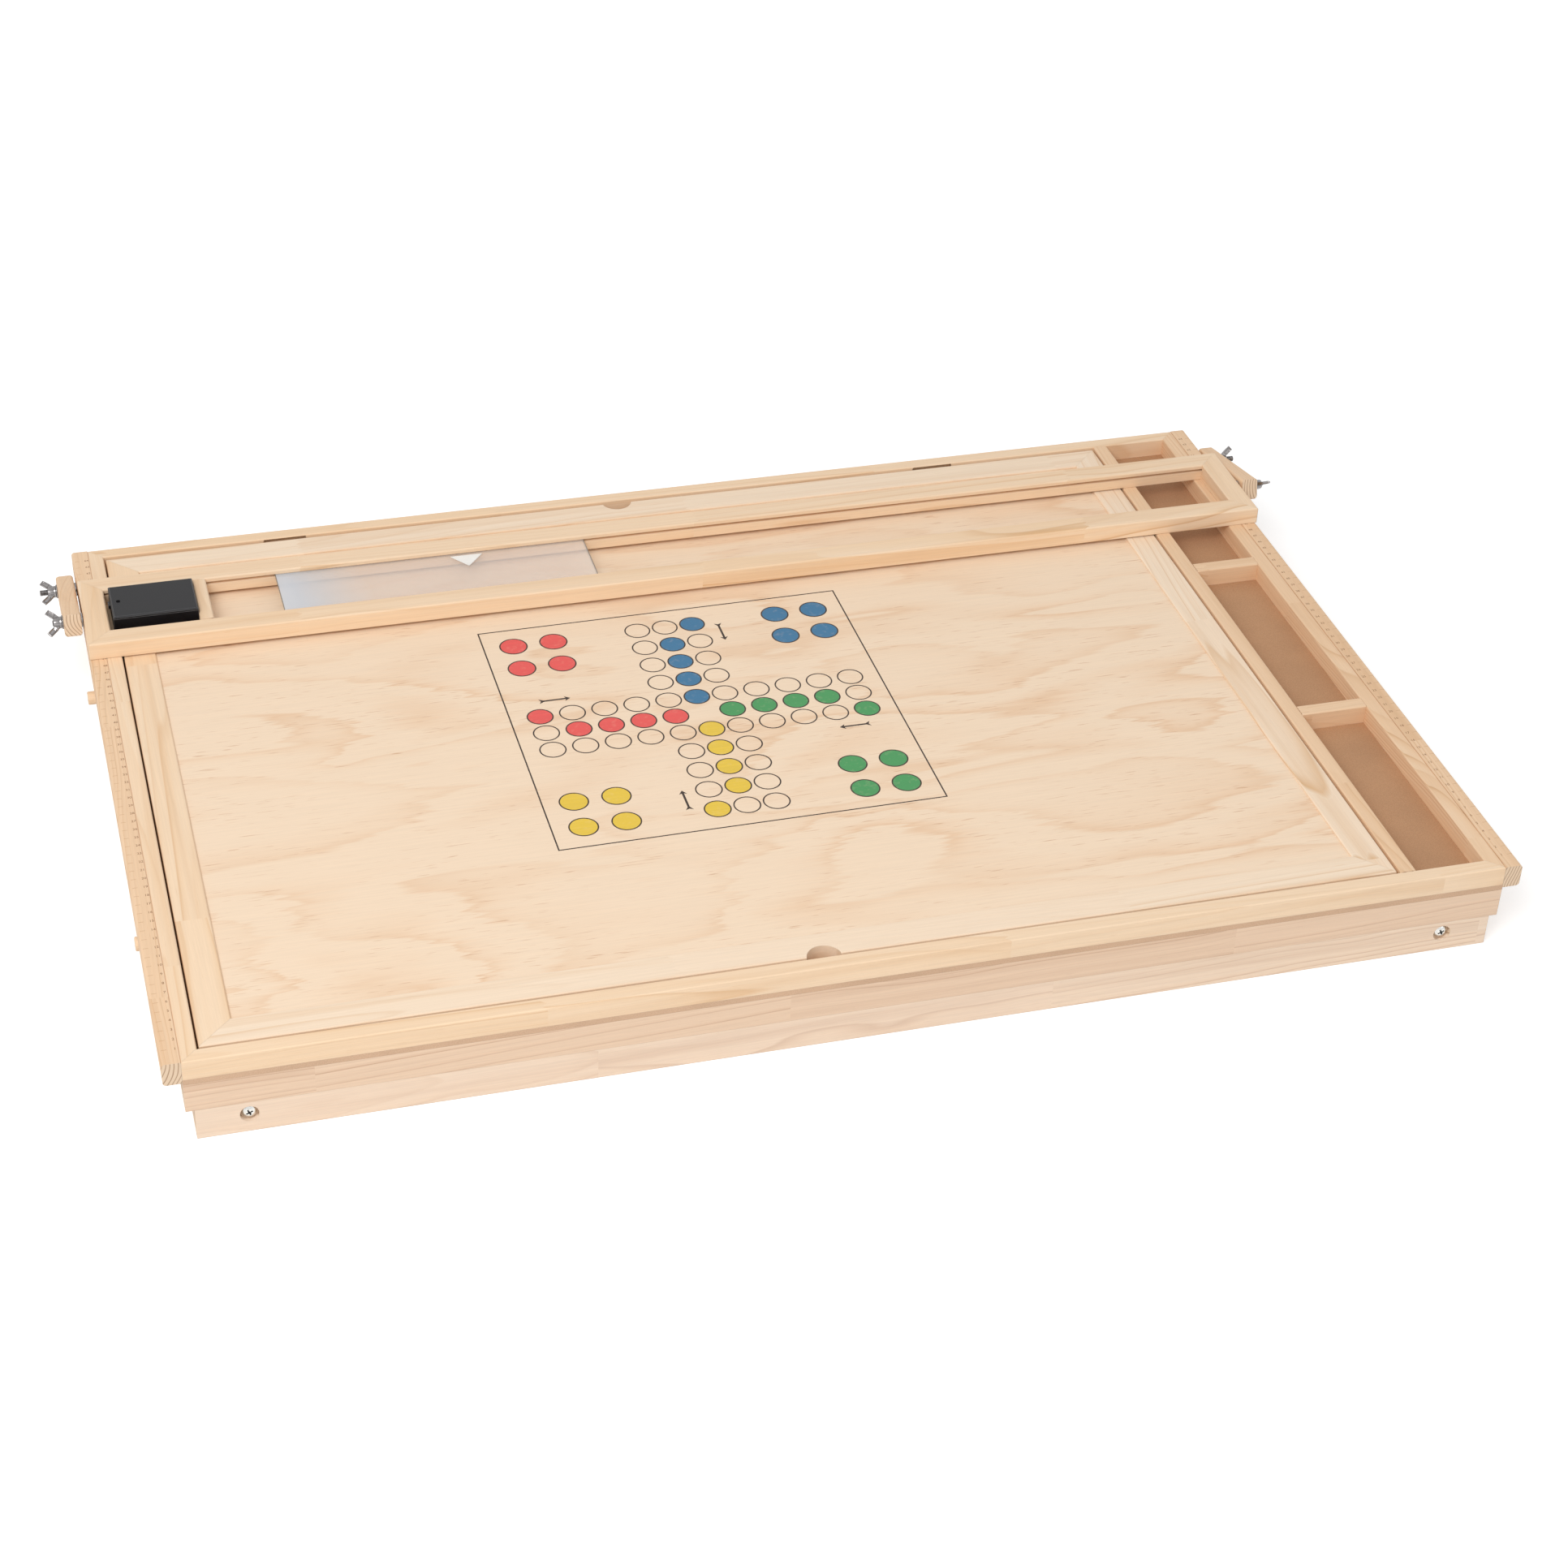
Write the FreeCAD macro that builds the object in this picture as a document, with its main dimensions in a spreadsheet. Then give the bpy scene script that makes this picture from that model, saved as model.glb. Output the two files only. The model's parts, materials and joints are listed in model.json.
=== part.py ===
# Jigsaw puzzle table with a lift-out game board, three trays, two drawers, folding legs
# and a magnifier bridge carried by two link arms on slotted slide rails.
# Millimetres. X runs along the table, the front faces -Y, Z is up, Z = 0 is the underside.
import FreeCAD
import Part
import math
import os
import re
import Sketcher

SIZES = {
    # upper frame, slide rails and trays
    "frame_width": 954.0,
    "frame_depth": 660.0,
    "rail_width": 12.0,
    "rail_height": 15.5,
    "rail_ease": 0.8,
    "slide_width": 13.0,
    "slide_height": 18.0,
    "slide_round": 2.6,
    "tray_width": 53.5,
    "floor_thickness": 4.5,
    "recess_spacing": 565.6,
    "recess_width": 39.0,
    "recess_slant": 2.2,
    "recess_depth": 6.0,
    "recess_sill": 2.0,
    "recess_lip": 1.0,
    # slot in the outer face of each slide rail
    "slot_stop": 12.0,
    "slot_clearance": 0.3,
    "channel_depth": 4.5,
    # lift-out board
    "board_side_gap": 1.6,
    "board_end_gap": 3.0,
    "board_drop": 1.0,
    "strip_width": 24.5,
    "strip_ease": 0.8,
    "panel_thickness": 9.0,
    "panel_drop": 1.8,
    "panel_tongue": 5.0,
    "notch_radius": 12.5,
    "notch_offset": 2.0,
    # middle layer and drawers
    "mid_height": 23.0,
    "mid_thickness": 18.0,
    "deck_thickness": 3.0,
    "drawer_divider_width": 12.0,
    "drawer_length": 400.0,
    "drawer_side_gap": 1.0,
    "drawer_lift": 0.3,
    "drawer_headroom": 2.0,
    "front_drawer_inset": 3.5,
    "back_drawer_inset": 0.0,
    "drawer_front_thickness": 12.0,
    "drawer_wall": 8.0,
    "drawer_floor_thickness": 3.0,
    "drawer_floor_rise": 1.5,
    "knob_radius": 5.25,
    "knob_length": 18.0,
    "knob_embed": 8.0,
    # base and folding legs
    "base_inset": 6.0,
    "base_height": 25.0,
    "base_thickness": 25.0,
    "leg_thickness": 18.0,
    "leg_width": 18.0,
    "leg_reach": 290.0,
    "leg_side_gap": 0.5,
    "leg_head_gap": 1.0,
    "leg_stop_gap": 2.0,
    "stretcher_width": 14.0,
    "stretcher_height": 12.0,
    "stretcher_inset": 40.0,
    "stretcher_tenon": 9.0,
    "pivot_radius": 2.5,
    "pivot_head_radius": 5.0,
    "pivot_head_height": 3.4,
    "pivot_grip": 13.0,
    "counterbore_radius": 6.5,
    "counterbore_depth": 4.2,
    # magnifier bridge
    "bridge_setback": 67.0,
    "bridge_gap": 0.2,
    "bridge_rail_width": 19.0,
    "bridge_height": 14.0,
    "bridge_ease": 1.0,
    "groove_level": 8.0,
    "groove_height": 2.2,
    "groove_depth": 4.0,
    "divider_width": 11.0,
    "lens_length": 256.0,
    "lens_thickness": 1.8,
    "lens_side_gap": 0.4,
    "lens_inset": 56.0,
    # battery box
    "box_left_gap": 3.6,
    "box_front_gap": 9.8,
    "box_back_gap": 4.0,
    "box_wall": 1.4,
    "box_floor": 1.4,
    "box_rise": 0.3,
    "lid_thickness": 2.2,
    "lid_bevel": 1.0,
    "lid_screw_radius": 1.6,
    "lid_screw_height": 0.4,
    "lid_screw_inset": 6.0,
    "cell_radius": 7.1,
    "cell_length": 50.0,
    "cell_gap": 0.2,
    "cell_headroom": 0.5,
    "contact_room": 7.0,
    "contact_half": 4.6,
    "contact_thickness": 0.6,
    "switch_length": 6.0,
    "switch_height": 3.6,
    "switch_reach": 1.8,
    "switch_level": 12.6,
    "switch_share": 0.6,
    # link arms, bolts and wing nuts
    "arm_spacing": 75.0,
    "arm_end": 10.5,
    "arm_height": 18.0,
    "arm_thickness": 13.8,
    "arm_round": 2.6,
    "arm_gap": 1.8,
    "spacer_clearance": 0.2,
    "washer_thickness": 1.2,
    "washer_radius": 5.6,
    "bolt_radius": 2.5,
    "bolt_clearance": 0.08,
    "bolt_head_radius": 5.0,
    "bolt_head_height": 3.6,
    "bolt_overrun": 6.2,
    "stud_overrun": 0.6,
    "stud_embed": 14.0,
    "hub_height": 6.6,
    "hub_radius": 4.8,
    "wing_half_span": 11.8,
    "wing_reach": 12.4,
    "wing_thickness": 2.6,
}

# Measures that follow from the sizes above.
DERIVED = {
    "deck_top": "base_height + deck_thickness",
    "mid_top": "base_height + mid_height",
    "floor_top": "mid_top + floor_thickness",
    "rail_top": "floor_top + rail_height",
    "slide_outside": "frame_width / 2 + slide_width",
    "slot_level": "rail_top - slide_height / 2",
    "slot_half": "bolt_radius + slot_clearance",
    "channel_half": "bolt_head_radius + slot_clearance",
    "inside_depth": "frame_depth - 2 * rail_width",
    "tray_length": "(inside_depth - 2 * rail_width) / 3",
    "tray_left": "frame_width / 2 - rail_width - tray_width",
    "board_room": "frame_width - 3 * rail_width - tray_width",
    "board_x": "-(rail_width + tray_width) / 2",
    "board_length": "board_room - 2 * board_side_gap",
    "board_depth": "inside_depth - 2 * board_end_gap",
    "board_height": "rail_height - board_drop",
    "panel_level": "board_height - panel_drop - panel_thickness",
    "panel_inset": "strip_width - panel_tongue",
    "bay_width": "frame_depth / 2 - mid_thickness - drawer_divider_width / 2",
    "bay_y": "drawer_divider_width / 2 + bay_width / 2",
    "drawer_width": "bay_width - 2 * drawer_side_gap",
    "drawer_bottom": "deck_top + drawer_lift",
    "drawer_height": "mid_height - deck_thickness - drawer_lift - drawer_headroom",
    "base_length": "frame_width - 2 * base_inset",
    "leg_radius": "leg_thickness / 2",
    "pivot_level": "base_height - leg_head_gap - leg_radius",
    "pivot_x": "base_length / 2 - base_thickness - leg_stop_gap - leg_radius",
    "leg_y": "frame_depth / 2 - base_thickness - leg_side_gap - leg_width",
    "box_depth": "6 * cell_radius + 4 * cell_gap + 2 * box_wall",
    "box_length": "cell_length + 2 * contact_room + 2 * box_wall",
    "box_height": "box_floor + 2 * cell_radius + cell_headroom",
    "bridge_length": "2 * slide_outside",
    "bridge_depth": "box_depth + box_front_gap + box_back_gap + 2 * bridge_rail_width",
    "bridge_back": "frame_depth / 2 - bridge_setback",
    "bridge_y": "bridge_back - bridge_depth / 2",
    "bridge_bottom": "rail_top + bridge_gap",
    "window_front": "bridge_back - bridge_depth + bridge_rail_width",
    "window_depth": "bridge_depth - 2 * bridge_rail_width",
    "bay_left": "bridge_rail_width - slide_outside",
    "box_x": "bay_left + box_left_gap",
    "box_y": "window_front + box_front_gap",
    "box_bottom": "bridge_bottom + box_rise",
    "divider_x": "box_x + box_length",
    "lens_x": "divider_x + divider_width + lens_inset",
    "tilt_level": "bridge_bottom + bridge_height / 2",
    "arm_rise": "tilt_level - slot_level",
    "arm_run": "sqrt(arm_spacing ^ 2 - arm_rise ^ 2)",
    "slot_bolt_y": "bridge_y + arm_run",
    "arm_inside": "slide_outside + arm_gap",
    "arm_outside": "arm_inside + arm_thickness",
    "nut_seat": "arm_outside + washer_thickness",
    "bolt_end": "nut_seat + hub_height + bolt_overrun",
    "stud_end": "nut_seat + hub_height + stud_overrun",
    "bolt_bore": "bolt_radius + bolt_clearance",
}

FUNCTIONS = ("sqrt", "asin", "deg")
X_AXIS = FreeCAD.Vector(1, 0, 0)
Y_AXIS = FreeCAD.Vector(0, 1, 0)
Z_AXIS = FreeCAD.Vector(0, 0, 1)
FRONT_BACK = {"front": -1, "back": 1}
LEFT_RIGHT = {"left": -1, "right": 1}
# How far each wing nut is turned from upright, in degrees.
WING_TURNS = {
    ("left", "front"): 56,
    ("left", "back"): 66,
    ("right", "front"): 53,
    ("right", "back"): -15,
}
# The arms' turn in whole degrees; the sheet then sets it exactly.
ARM_TURN = 168
# Heights at which a wing leaves its hub, and points of its rim, as shares of hub, span and reach.
WING_ROOT = ("0.15", "0.85")
WING_RIM = [("0.8", "0.38"), ("1", "0.62"), ("1", "0.86"), ("0.9", "1"), ("0.7", "0.96")]
# For each side of a four-rail frame: what it is as long as, its turn, and its starting corner.
SIDES = {
    "front": ("length", 0, -1, -1),
    "right": ("depth", 90, 1, -1),
    "back": ("length", 180, 1, 1),
    "left": ("depth", 270, -1, 1),
}

doc = FreeCAD.newDocument("jigsaw_puzzle_table")
sheet = doc.addObject("Spreadsheet::Sheet", "Sizes")
for row, (size_name, size) in enumerate(SIZES.items(), start=1):
    sheet.set(f"A{row}", size_name)
    sheet.set(f"B{row}", str(size))
    sheet.setAlias(f"B{row}", size_name)
doc.recompute()

nodes = []


def bound(text):
    """Write an expression on the sheet from the names of sizes and derived measures."""
    def swap(match):
        name = match.group(0)
        if name in FUNCTIONS:
            return name
        if name in DERIVED:
            return "(" + bound(DERIVED[name]) + ")"
        return "Sizes." + name
    return re.sub(r"[a-z]+(?:_[a-z]+)*", swap, text)


def node(piece):
    """Hand a finished sub-part in under its label."""
    nodes.append(piece)
    return piece


def place(piece, x="0", y="0", z="0", axis=Z_AXIS, angle=0, angle_text=None, spin=0):
    """Spin a piece about its own Z axis, turn it and bind its position to the sheet."""
    turned = FreeCAD.Rotation(axis, angle) * FreeCAD.Rotation(Z_AXIS, spin)
    piece.Placement = FreeCAD.Placement(FreeCAD.Vector(), turned)
    if angle_text:
        piece.setExpression("Placement.Rotation.Angle", bound(angle_text))
    for letter, text in (("x", x), ("y", y), ("z", z)):
        piece.setExpression(f"Placement.Base.{letter}", bound(text))
    return piece


def stick(label, length, width, height, x, y, z):
    """A plain squared stick or panel, given by its lowest corner."""
    piece = doc.addObject("Part::Box", label)
    for name, text in (("Length", length), ("Width", width), ("Height", height)):
        piece.setExpression(name, bound(text))
    return place(piece, x, y, z)


def rod(label, radius, length):
    """A plain round rod along its own Z axis."""
    piece = doc.addObject("Part::Cylinder", label)
    piece.setExpression("Radius", bound(radius))
    piece.setExpression("Height", bound(length))
    return piece


def group(label, members):
    """Separate solids that share one node."""
    piece = doc.addObject("Part::Compound", label)
    piece.Links = members
    return node(piece)


def new_sketch(body, plane, name, lift=None):
    sketch = body.newObject("Sketcher::SketchObject", name)
    support = next(item for item in body.Origin.OriginFeatures if item.Role == plane)
    sketch.AttachmentSupport = (support, [""])
    sketch.MapMode = "FlatFace"
    if lift:
        sketch.setExpression("AttachmentOffset.Base.z", bound(lift))
    return sketch


def pin(sketch, geometry, point, x, y, start):
    """Hold one point of a sketch at bound coordinates."""
    for kind, text, now in (("DistanceX", x, start.x), ("DistanceY", y, start.y)):
        number = sketch.addConstraint(Sketcher.Constraint(kind, geometry, point, now))
        sketch.setExpression(f"Constraints[{number}]", bound(text))


def outline(body, plane, corners, name, lift=None):
    """A closed outline of straight lines through bound corners."""
    sketch = new_sketch(body, plane, name, lift)
    count = len(corners)
    steps = [2 * math.pi * number / count for number in range(count)]
    rough = [FreeCAD.Vector(math.cos(step), math.sin(step), 0) for step in steps]
    for number in range(count):
        line = Part.LineSegment(rough[number], rough[(number + 1) % count])
        sketch.addGeometry(line, False)
    for number in range(count):
        following = (number + 1) % count
        sketch.addConstraint(Sketcher.Constraint("Coincident", number, 2, following, 1))
    for number, (x, y) in enumerate(corners):
        pin(sketch, number, 1, x, y, rough[number])
    return sketch


def rectangle(body, plane, left, right, low, high, name, lift=None):
    corners = [(left, low), (right, low), (right, high), (left, high)]
    return outline(body, plane, corners, name, lift)


def rings(body, plane, centres, radius, name):
    """Circles of one bound radius about bound centres."""
    sketch = new_sketch(body, plane, name)
    for x, y in centres:
        start = FreeCAD.Vector(0, 0, 0)
        circle = sketch.addGeometry(Part.Circle(start, Z_AXIS, 1), False)
        number = sketch.addConstraint(Sketcher.Constraint("Radius", circle, 1))
        sketch.setExpression(f"Constraints[{number}]", bound(radius))
        pin(sketch, circle, 3, x, y, start)
    return sketch


def add(body, kind, sketch, reverse=False, depth=None):
    """Pad a sketch, or pocket it to a depth or right through."""
    feature = body.newObject("PartDesign::" + kind, sketch.Name + "_" + kind.lower())
    feature.Profile = sketch
    feature.Reversed = reverse
    if depth:
        feature.setExpression("Length", bound(depth))
    else:
        feature.Type = "ThroughAll"
    body.Tip = feature
    return feature


def lathe(label, profile):
    """A turned piece about its own Z axis, from radius and height corners."""
    body = doc.addObject("PartDesign::Body", label)
    sketch = outline(body, "XZ_Plane", profile, label + "_profile")
    turned = body.newObject("PartDesign::Revolution", label + "_turned")
    turned.Profile = sketch
    turned.ReferenceAxis = (sketch, ["V_Axis"])
    turned.Angle = 360
    body.Tip = turned
    return body


def ease_edges(body, radius, chosen, kind="Fillet"):
    """Round or bevel the edges of a body that a test picks by their bounding box."""
    doc.recompute()
    base = body.Tip
    whole = base.Shape.BoundBox
    names = []
    for number, edge in enumerate(base.Shape.Edges, start=1):
        if chosen(edge.BoundBox, whole):
            names.append(f"Edge{number}")
    feature = body.newObject("PartDesign::" + kind, body.Name + "_edges")
    feature.Base = (base, names)
    feature.setExpression("Radius" if kind == "Fillet" else "Size", bound(radius))
    body.Tip = feature


def same(one, other):
    return abs(one - other) < 1e-6


def top_edges_along_x(edge, whole):
    return same(edge.ZMin, whole.ZMax) and same(edge.YLength, 0)


def top_edges_along_y(edge, whole):
    return same(edge.ZMin, whole.ZMax) and same(edge.XLength, 0)


def top_edges(edge, whole):
    return same(edge.ZMin, whole.ZMax)


def outer_edges_along_y(edge, whole):
    return same(edge.XMin, whole.XMax) and same(edge.ZLength, 0)


def edges_along_y(edge, whole):
    return same(edge.XLength, 0) and same(edge.ZLength, 0)


def mitred_rail(label, length, width, height, easing):
    """A rail with 45 degree ends. Local Y = 0 is its outer face."""
    body = doc.addObject("PartDesign::Body", label)
    corners = [("0", "0"), (length, "0"), (f"{length} - {width}", width), (width, width)]
    add(body, "Pad", outline(body, "XY_Plane", corners, label + "_plan"), depth=height)
    ease_edges(body, easing, top_edges_along_x, "Chamfer")
    return node(body)


def mitred_frame(pattern, length, depth, width, height, easing, x, y, z):
    """Four mitred rails about a centre."""
    rails = {}
    for side, (along, angle, x_sign, y_sign) in SIDES.items():
        rail_length = length if along == "length" else depth
        rail = mitred_rail(pattern.format(side), rail_length, width, height, easing)
        corner_x = f"{x} + {x_sign} * {length} / 2"
        corner_y = f"{y} + {y_sign} * {depth} / 2"
        rails[side] = place(rail, corner_x, corner_y, z, Z_AXIS, angle)
    return rails


def groove(rail, width, low, high, depth):
    """A groove along the whole inner face of a mitred rail."""
    name = rail.Name + "_groove"
    shape = rectangle(rail, "YZ_Plane", f"{width} - {depth}", f"{width} + {depth}", low, high, name)
    add(rail, "Pocket", shape, reverse=True)


# Upper frame
upper = mitred_frame("{}_rail", "frame_width", "frame_depth", "rail_width", "rail_height",
                     "rail_ease", "0", "0", "floor_top")
for side, sign in LEFT_RIGHT.items():
    middle = f"frame_width / 2 - board_x + {sign} * recess_spacing / 2"
    high = "rail_height - recess_lip"
    half = "recess_width / 2"
    corners = [
        (f"{middle} - {half}", "recess_sill"),
        (f"{middle} + {half}", "recess_sill"),
        (f"{middle} + {half} - recess_slant", high),
        (f"{middle} - {half} + recess_slant", high),
    ]
    recess = outline(upper["back"], "XZ_Plane", corners, side + "_recess", lift="-rail_width")
    add(upper["back"], "Pocket", recess, reverse=True, depth="recess_depth")

# Slide rails, each with a stopped slot that widens to a channel for the bolt head
for side, sign in LEFT_RIGHT.items():
    label = side + "_slide_rail"
    body = doc.addObject("PartDesign::Body", label)
    plan = rectangle(body, "XY_Plane", "0", "slide_width", "0", "frame_depth", label + "_plan")
    add(body, "Pad", plan, depth="slide_height")
    ease_edges(body, "slide_round", outer_edges_along_y)
    for name, half, depth in (("channel", "channel_half", "channel_depth"), ("slot", "slot_half", None)):
        low = f"slide_height / 2 - {half}"
        high = f"slide_height / 2 + {half}"
        shape = rectangle(body, "YZ_Plane", "slot_stop", "frame_depth - slot_stop", low, high,
                          side + "_" + name)
        add(body, "Pocket", shape, reverse=True, depth=depth)
    angle = 0 if sign > 0 else 180
    place(body, f"{sign} * frame_width / 2", f"-{sign} * frame_depth / 2", "rail_top - slide_height",
          Z_AXIS, angle)
    node(body)

# Trays and floor
divider = doc.addObject("PartDesign::Body", "tray_divider")
plan = rectangle(divider, "XY_Plane", "0", "rail_width", "0", "inside_depth", "tray_divider_plan")
add(divider, "Pad", plan, depth="rail_height")
ease_edges(divider, "rail_ease", top_edges_along_y, "Chamfer")
node(place(divider, "tray_left - rail_width", "-inside_depth / 2", "floor_top"))

partitions = []
for side, sign in FRONT_BACK.items():
    label = side + "_tray_partition"
    body = doc.addObject("PartDesign::Body", label)
    plan = rectangle(body, "XY_Plane", "0", "tray_width", "0", "rail_width", label + "_plan")
    add(body, "Pad", plan, depth="rail_height")
    ease_edges(body, "rail_ease", top_edges_along_x, "Chamfer")
    middle = f"{sign} * (tray_length + rail_width) / 2"
    partitions.append(place(body, "tray_left", f"{middle} - rail_width / 2", "floor_top"))
group("tray_partitions", partitions)

node(stick("floor_panel", "frame_width", "frame_depth", "floor_thickness",
           "-frame_width / 2", "-frame_depth / 2", "mid_top"))

# Lift-out board
strips = mitred_frame("board_{}_strip", "board_length", "board_depth", "strip_width", "board_height",
                      "strip_ease", "board_x", "0", "floor_top")
for side, strip in strips.items():
    groove(strip, "strip_width", "panel_level", "panel_level + panel_thickness", "panel_tongue")
    if side in FRONT_BACK:
        notch = rings(strip, "XY_Plane", [("board_length / 2", "-notch_offset")], "notch_radius",
                      side + "_notch")
        add(strip, "Pocket", notch, reverse=True)
node(stick("board_panel", "board_length - 2 * panel_inset", "board_depth - 2 * panel_inset",
           "panel_thickness", "board_x - board_length / 2 + panel_inset",
           "-board_depth / 2 + panel_inset", "floor_top + panel_level"))

# Middle layer
for side, sign in FRONT_BACK.items():
    near = "-frame_depth / 2" if sign < 0 else "frame_depth / 2 - mid_thickness"
    node(stick(f"mid_{side}_rail", "frame_width", "mid_thickness", "mid_height",
               "-frame_width / 2", near, "base_height"))
node(stick("mid_right_rail", "mid_thickness", "frame_depth - 2 * mid_thickness", "mid_height",
           "frame_width / 2 - mid_thickness", "-frame_depth / 2 + mid_thickness", "base_height"))
node(stick("deck_panel", "frame_width - mid_thickness", "frame_depth - 2 * mid_thickness",
           "deck_thickness", "-frame_width / 2", "-frame_depth / 2 + mid_thickness", "base_height"))
node(stick("drawer_divider", "frame_width - mid_thickness", "drawer_divider_width",
           "mid_height - deck_thickness", "-frame_width / 2", "-drawer_divider_width / 2", "deck_top"))

# Drawers, which open to the left
for side, sign in FRONT_BACK.items():
    label = side + "_drawer"
    start = f"{sign} * bay_y - drawer_width / 2"
    left = f"-frame_width / 2 + {side}_drawer_inset"
    behind = left + " + drawer_front_thickness"
    wall_length = "drawer_length - drawer_front_thickness"

    front = doc.addObject("PartDesign::Body", label + "_front")
    face = rectangle(front, "YZ_Plane", "0", "drawer_width", "0", "drawer_height", label + "_face")
    add(front, "Pad", face, depth="drawer_front_thickness")
    hole = rings(front, "YZ_Plane", [("drawer_width / 2", "drawer_height / 2")], "knob_radius",
                 label + "_knob_hole")
    add(front, "Pocket", hole, reverse=True, depth="knob_embed")
    node(place(front, left, start, "drawer_bottom"))

    walls = []
    for number, wall_y in enumerate((start, f"{start} + drawer_width - drawer_wall")):
        walls.append(stick(f"{label}_side_{number}", wall_length, "drawer_wall", "drawer_height",
                           behind, wall_y, "drawer_bottom"))
    group(label + "_sides", walls)

    inside_width = "drawer_width - 2 * drawer_wall"
    node(stick(label + "_back", "drawer_wall", inside_width, "drawer_height",
               f"{left} + drawer_length - drawer_wall", f"{start} + drawer_wall", "drawer_bottom"))
    node(stick(label + "_floor", f"{wall_length} - drawer_wall", inside_width, "drawer_floor_thickness",
               behind, f"{start} + drawer_wall", "drawer_bottom + drawer_floor_rise"))

    knob = rod(label + "_knob", "knob_radius", "knob_embed + knob_length")
    node(place(knob, left + " + knob_embed", f"{sign} * bay_y", "drawer_bottom + drawer_height / 2",
               Y_AXIS, -90))

# Base frame with counterbored pivot holes
for side, sign in FRONT_BACK.items():
    label = f"base_{side}_rail"
    rail = doc.addObject("PartDesign::Body", label)
    plan = rectangle(rail, "XY_Plane", "0", "base_length", "0", "base_thickness", label + "_plan")
    add(rail, "Pad", plan, depth="base_height")
    centres = [("base_length / 2 - pivot_x", "pivot_level"), ("base_length / 2 + pivot_x", "pivot_level")]
    sunk = rings(rail, "XZ_Plane", centres, "counterbore_radius", label + "_sunk")
    add(rail, "Pocket", sunk, depth="counterbore_depth")
    add(rail, "Pocket", rings(rail, "XZ_Plane", centres, "pivot_radius", label + "_hole"))
    angle = 0 if sign < 0 else 180
    node(place(rail, f"{sign} * base_length / 2", f"{sign} * frame_depth / 2", "0", Z_AXIS, angle))
for side, sign in LEFT_RIGHT.items():
    near = "-base_length / 2" if sign < 0 else "base_length / 2 - base_thickness"
    node(stick(f"base_{side}_rail", "base_thickness", "frame_depth - 2 * base_thickness", "base_height",
               near, "-frame_depth / 2 + base_thickness", "0"))

screws = []
for end, end_sign in LEFT_RIGHT.items():
    for side, side_sign in FRONT_BACK.items():
        grip = "base_thickness - counterbore_depth + leg_side_gap + pivot_grip"
        screw = lathe(f"{end}_{side}_pivot_screw", [
            ("0", f"-({grip})"),
            ("pivot_radius", f"-({grip})"),
            ("pivot_radius", "0"),
            ("pivot_head_radius", "0"),
            ("pivot_head_radius", "pivot_head_height"),
            ("0", "pivot_head_height"),
        ])
        seat = f"{side_sign} * (frame_depth / 2 - counterbore_depth)"
        screws.append(place(screw, f"{end_sign} * pivot_x", seat, "pivot_level", X_AXIS, -90 * side_sign))
group("leg_pivot_screws", screws)

# Folding leg frames, shown folded; each leg runs inwards from its pivot
for end, end_sign in LEFT_RIGHT.items():
    legs = []
    for side, side_sign in FRONT_BACK.items():
        label = f"{end}_{side}_leg"
        leg = doc.addObject("PartDesign::Body", label)
        shape = rectangle(leg, "XZ_Plane", "0", "leg_reach", "-leg_radius", "leg_radius", label + "_face")
        add(leg, "Pad", shape, reverse=True, depth="leg_width")
        knuckle = rings(leg, "XZ_Plane", [("0", "0")], "leg_radius", label + "_knuckle")
        add(leg, "Pad", knuckle, reverse=True, depth="leg_width")
        pivot = rings(leg, "XZ_Plane", [("0", "0")], "pivot_radius + bolt_clearance", label + "_pivot")
        add(leg, "Pocket", pivot)
        middle = "leg_reach - stretcher_inset"
        face = "0" if side_sign > 0 else "-leg_width"
        mortise = rectangle(leg, "XZ_Plane", f"{middle} - stretcher_width / 2",
                            f"{middle} + stretcher_width / 2", "-stretcher_height / 2",
                            "stretcher_height / 2", label + "_mortise", lift=face)
        add(leg, "Pocket", mortise, reverse=side_sign < 0, depth="stretcher_tenon")
        near = "leg_y" if side_sign > 0 else "-leg_y - leg_width"
        if end_sign < 0:
            legs.append(place(leg, "-pivot_x", near, "pivot_level"))
        else:
            other = "-leg_y - leg_width" if side_sign > 0 else "leg_y"
            legs.append(place(leg, "pivot_x", f"{other} + leg_width", "pivot_level", Z_AXIS, 180))
    group(end + "_legs", legs)
    middle = f"{end_sign} * (pivot_x - leg_reach + stretcher_inset)"
    node(stick(end + "_leg_stretcher", "stretcher_width", "2 * (leg_y + stretcher_tenon)", "stretcher_height",
               f"{middle} - stretcher_width / 2", "-leg_y - stretcher_tenon",
               "pivot_level - stretcher_height / 2"))

# Magnifier bridge
bridge = mitred_frame("bridge_{}_rail", "bridge_length", "bridge_depth", "bridge_rail_width",
                      "bridge_height", "bridge_ease", "0", "bridge_y", "bridge_bottom")
for side in FRONT_BACK:
    groove(bridge[side], "bridge_rail_width", "groove_level", "groove_level + groove_height", "groove_depth")
for side in LEFT_RIGHT:
    hole = rings(bridge[side], "XZ_Plane", [("bridge_depth / 2", "bridge_height / 2")], "bolt_radius",
                 side + "_stud_hole")
    add(bridge[side], "Pocket", hole, depth="stud_embed")

divider = doc.addObject("PartDesign::Body", "bridge_divider")
plan = rectangle(divider, "XY_Plane", "0", "divider_width", "0", "window_depth", "bridge_divider_plan")
add(divider, "Pad", plan, depth="bridge_height")
ease_edges(divider, "bridge_ease", top_edges_along_y, "Chamfer")
node(place(divider, "divider_x", "window_front", "bridge_bottom"))

node(stick("lens", "lens_length", "window_depth + 2 * groove_depth - 2 * lens_side_gap", "lens_thickness",
           "lens_x", "window_front - groove_depth + lens_side_gap",
           "bridge_bottom + groove_level + (groove_height - lens_thickness) / 2"))

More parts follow.
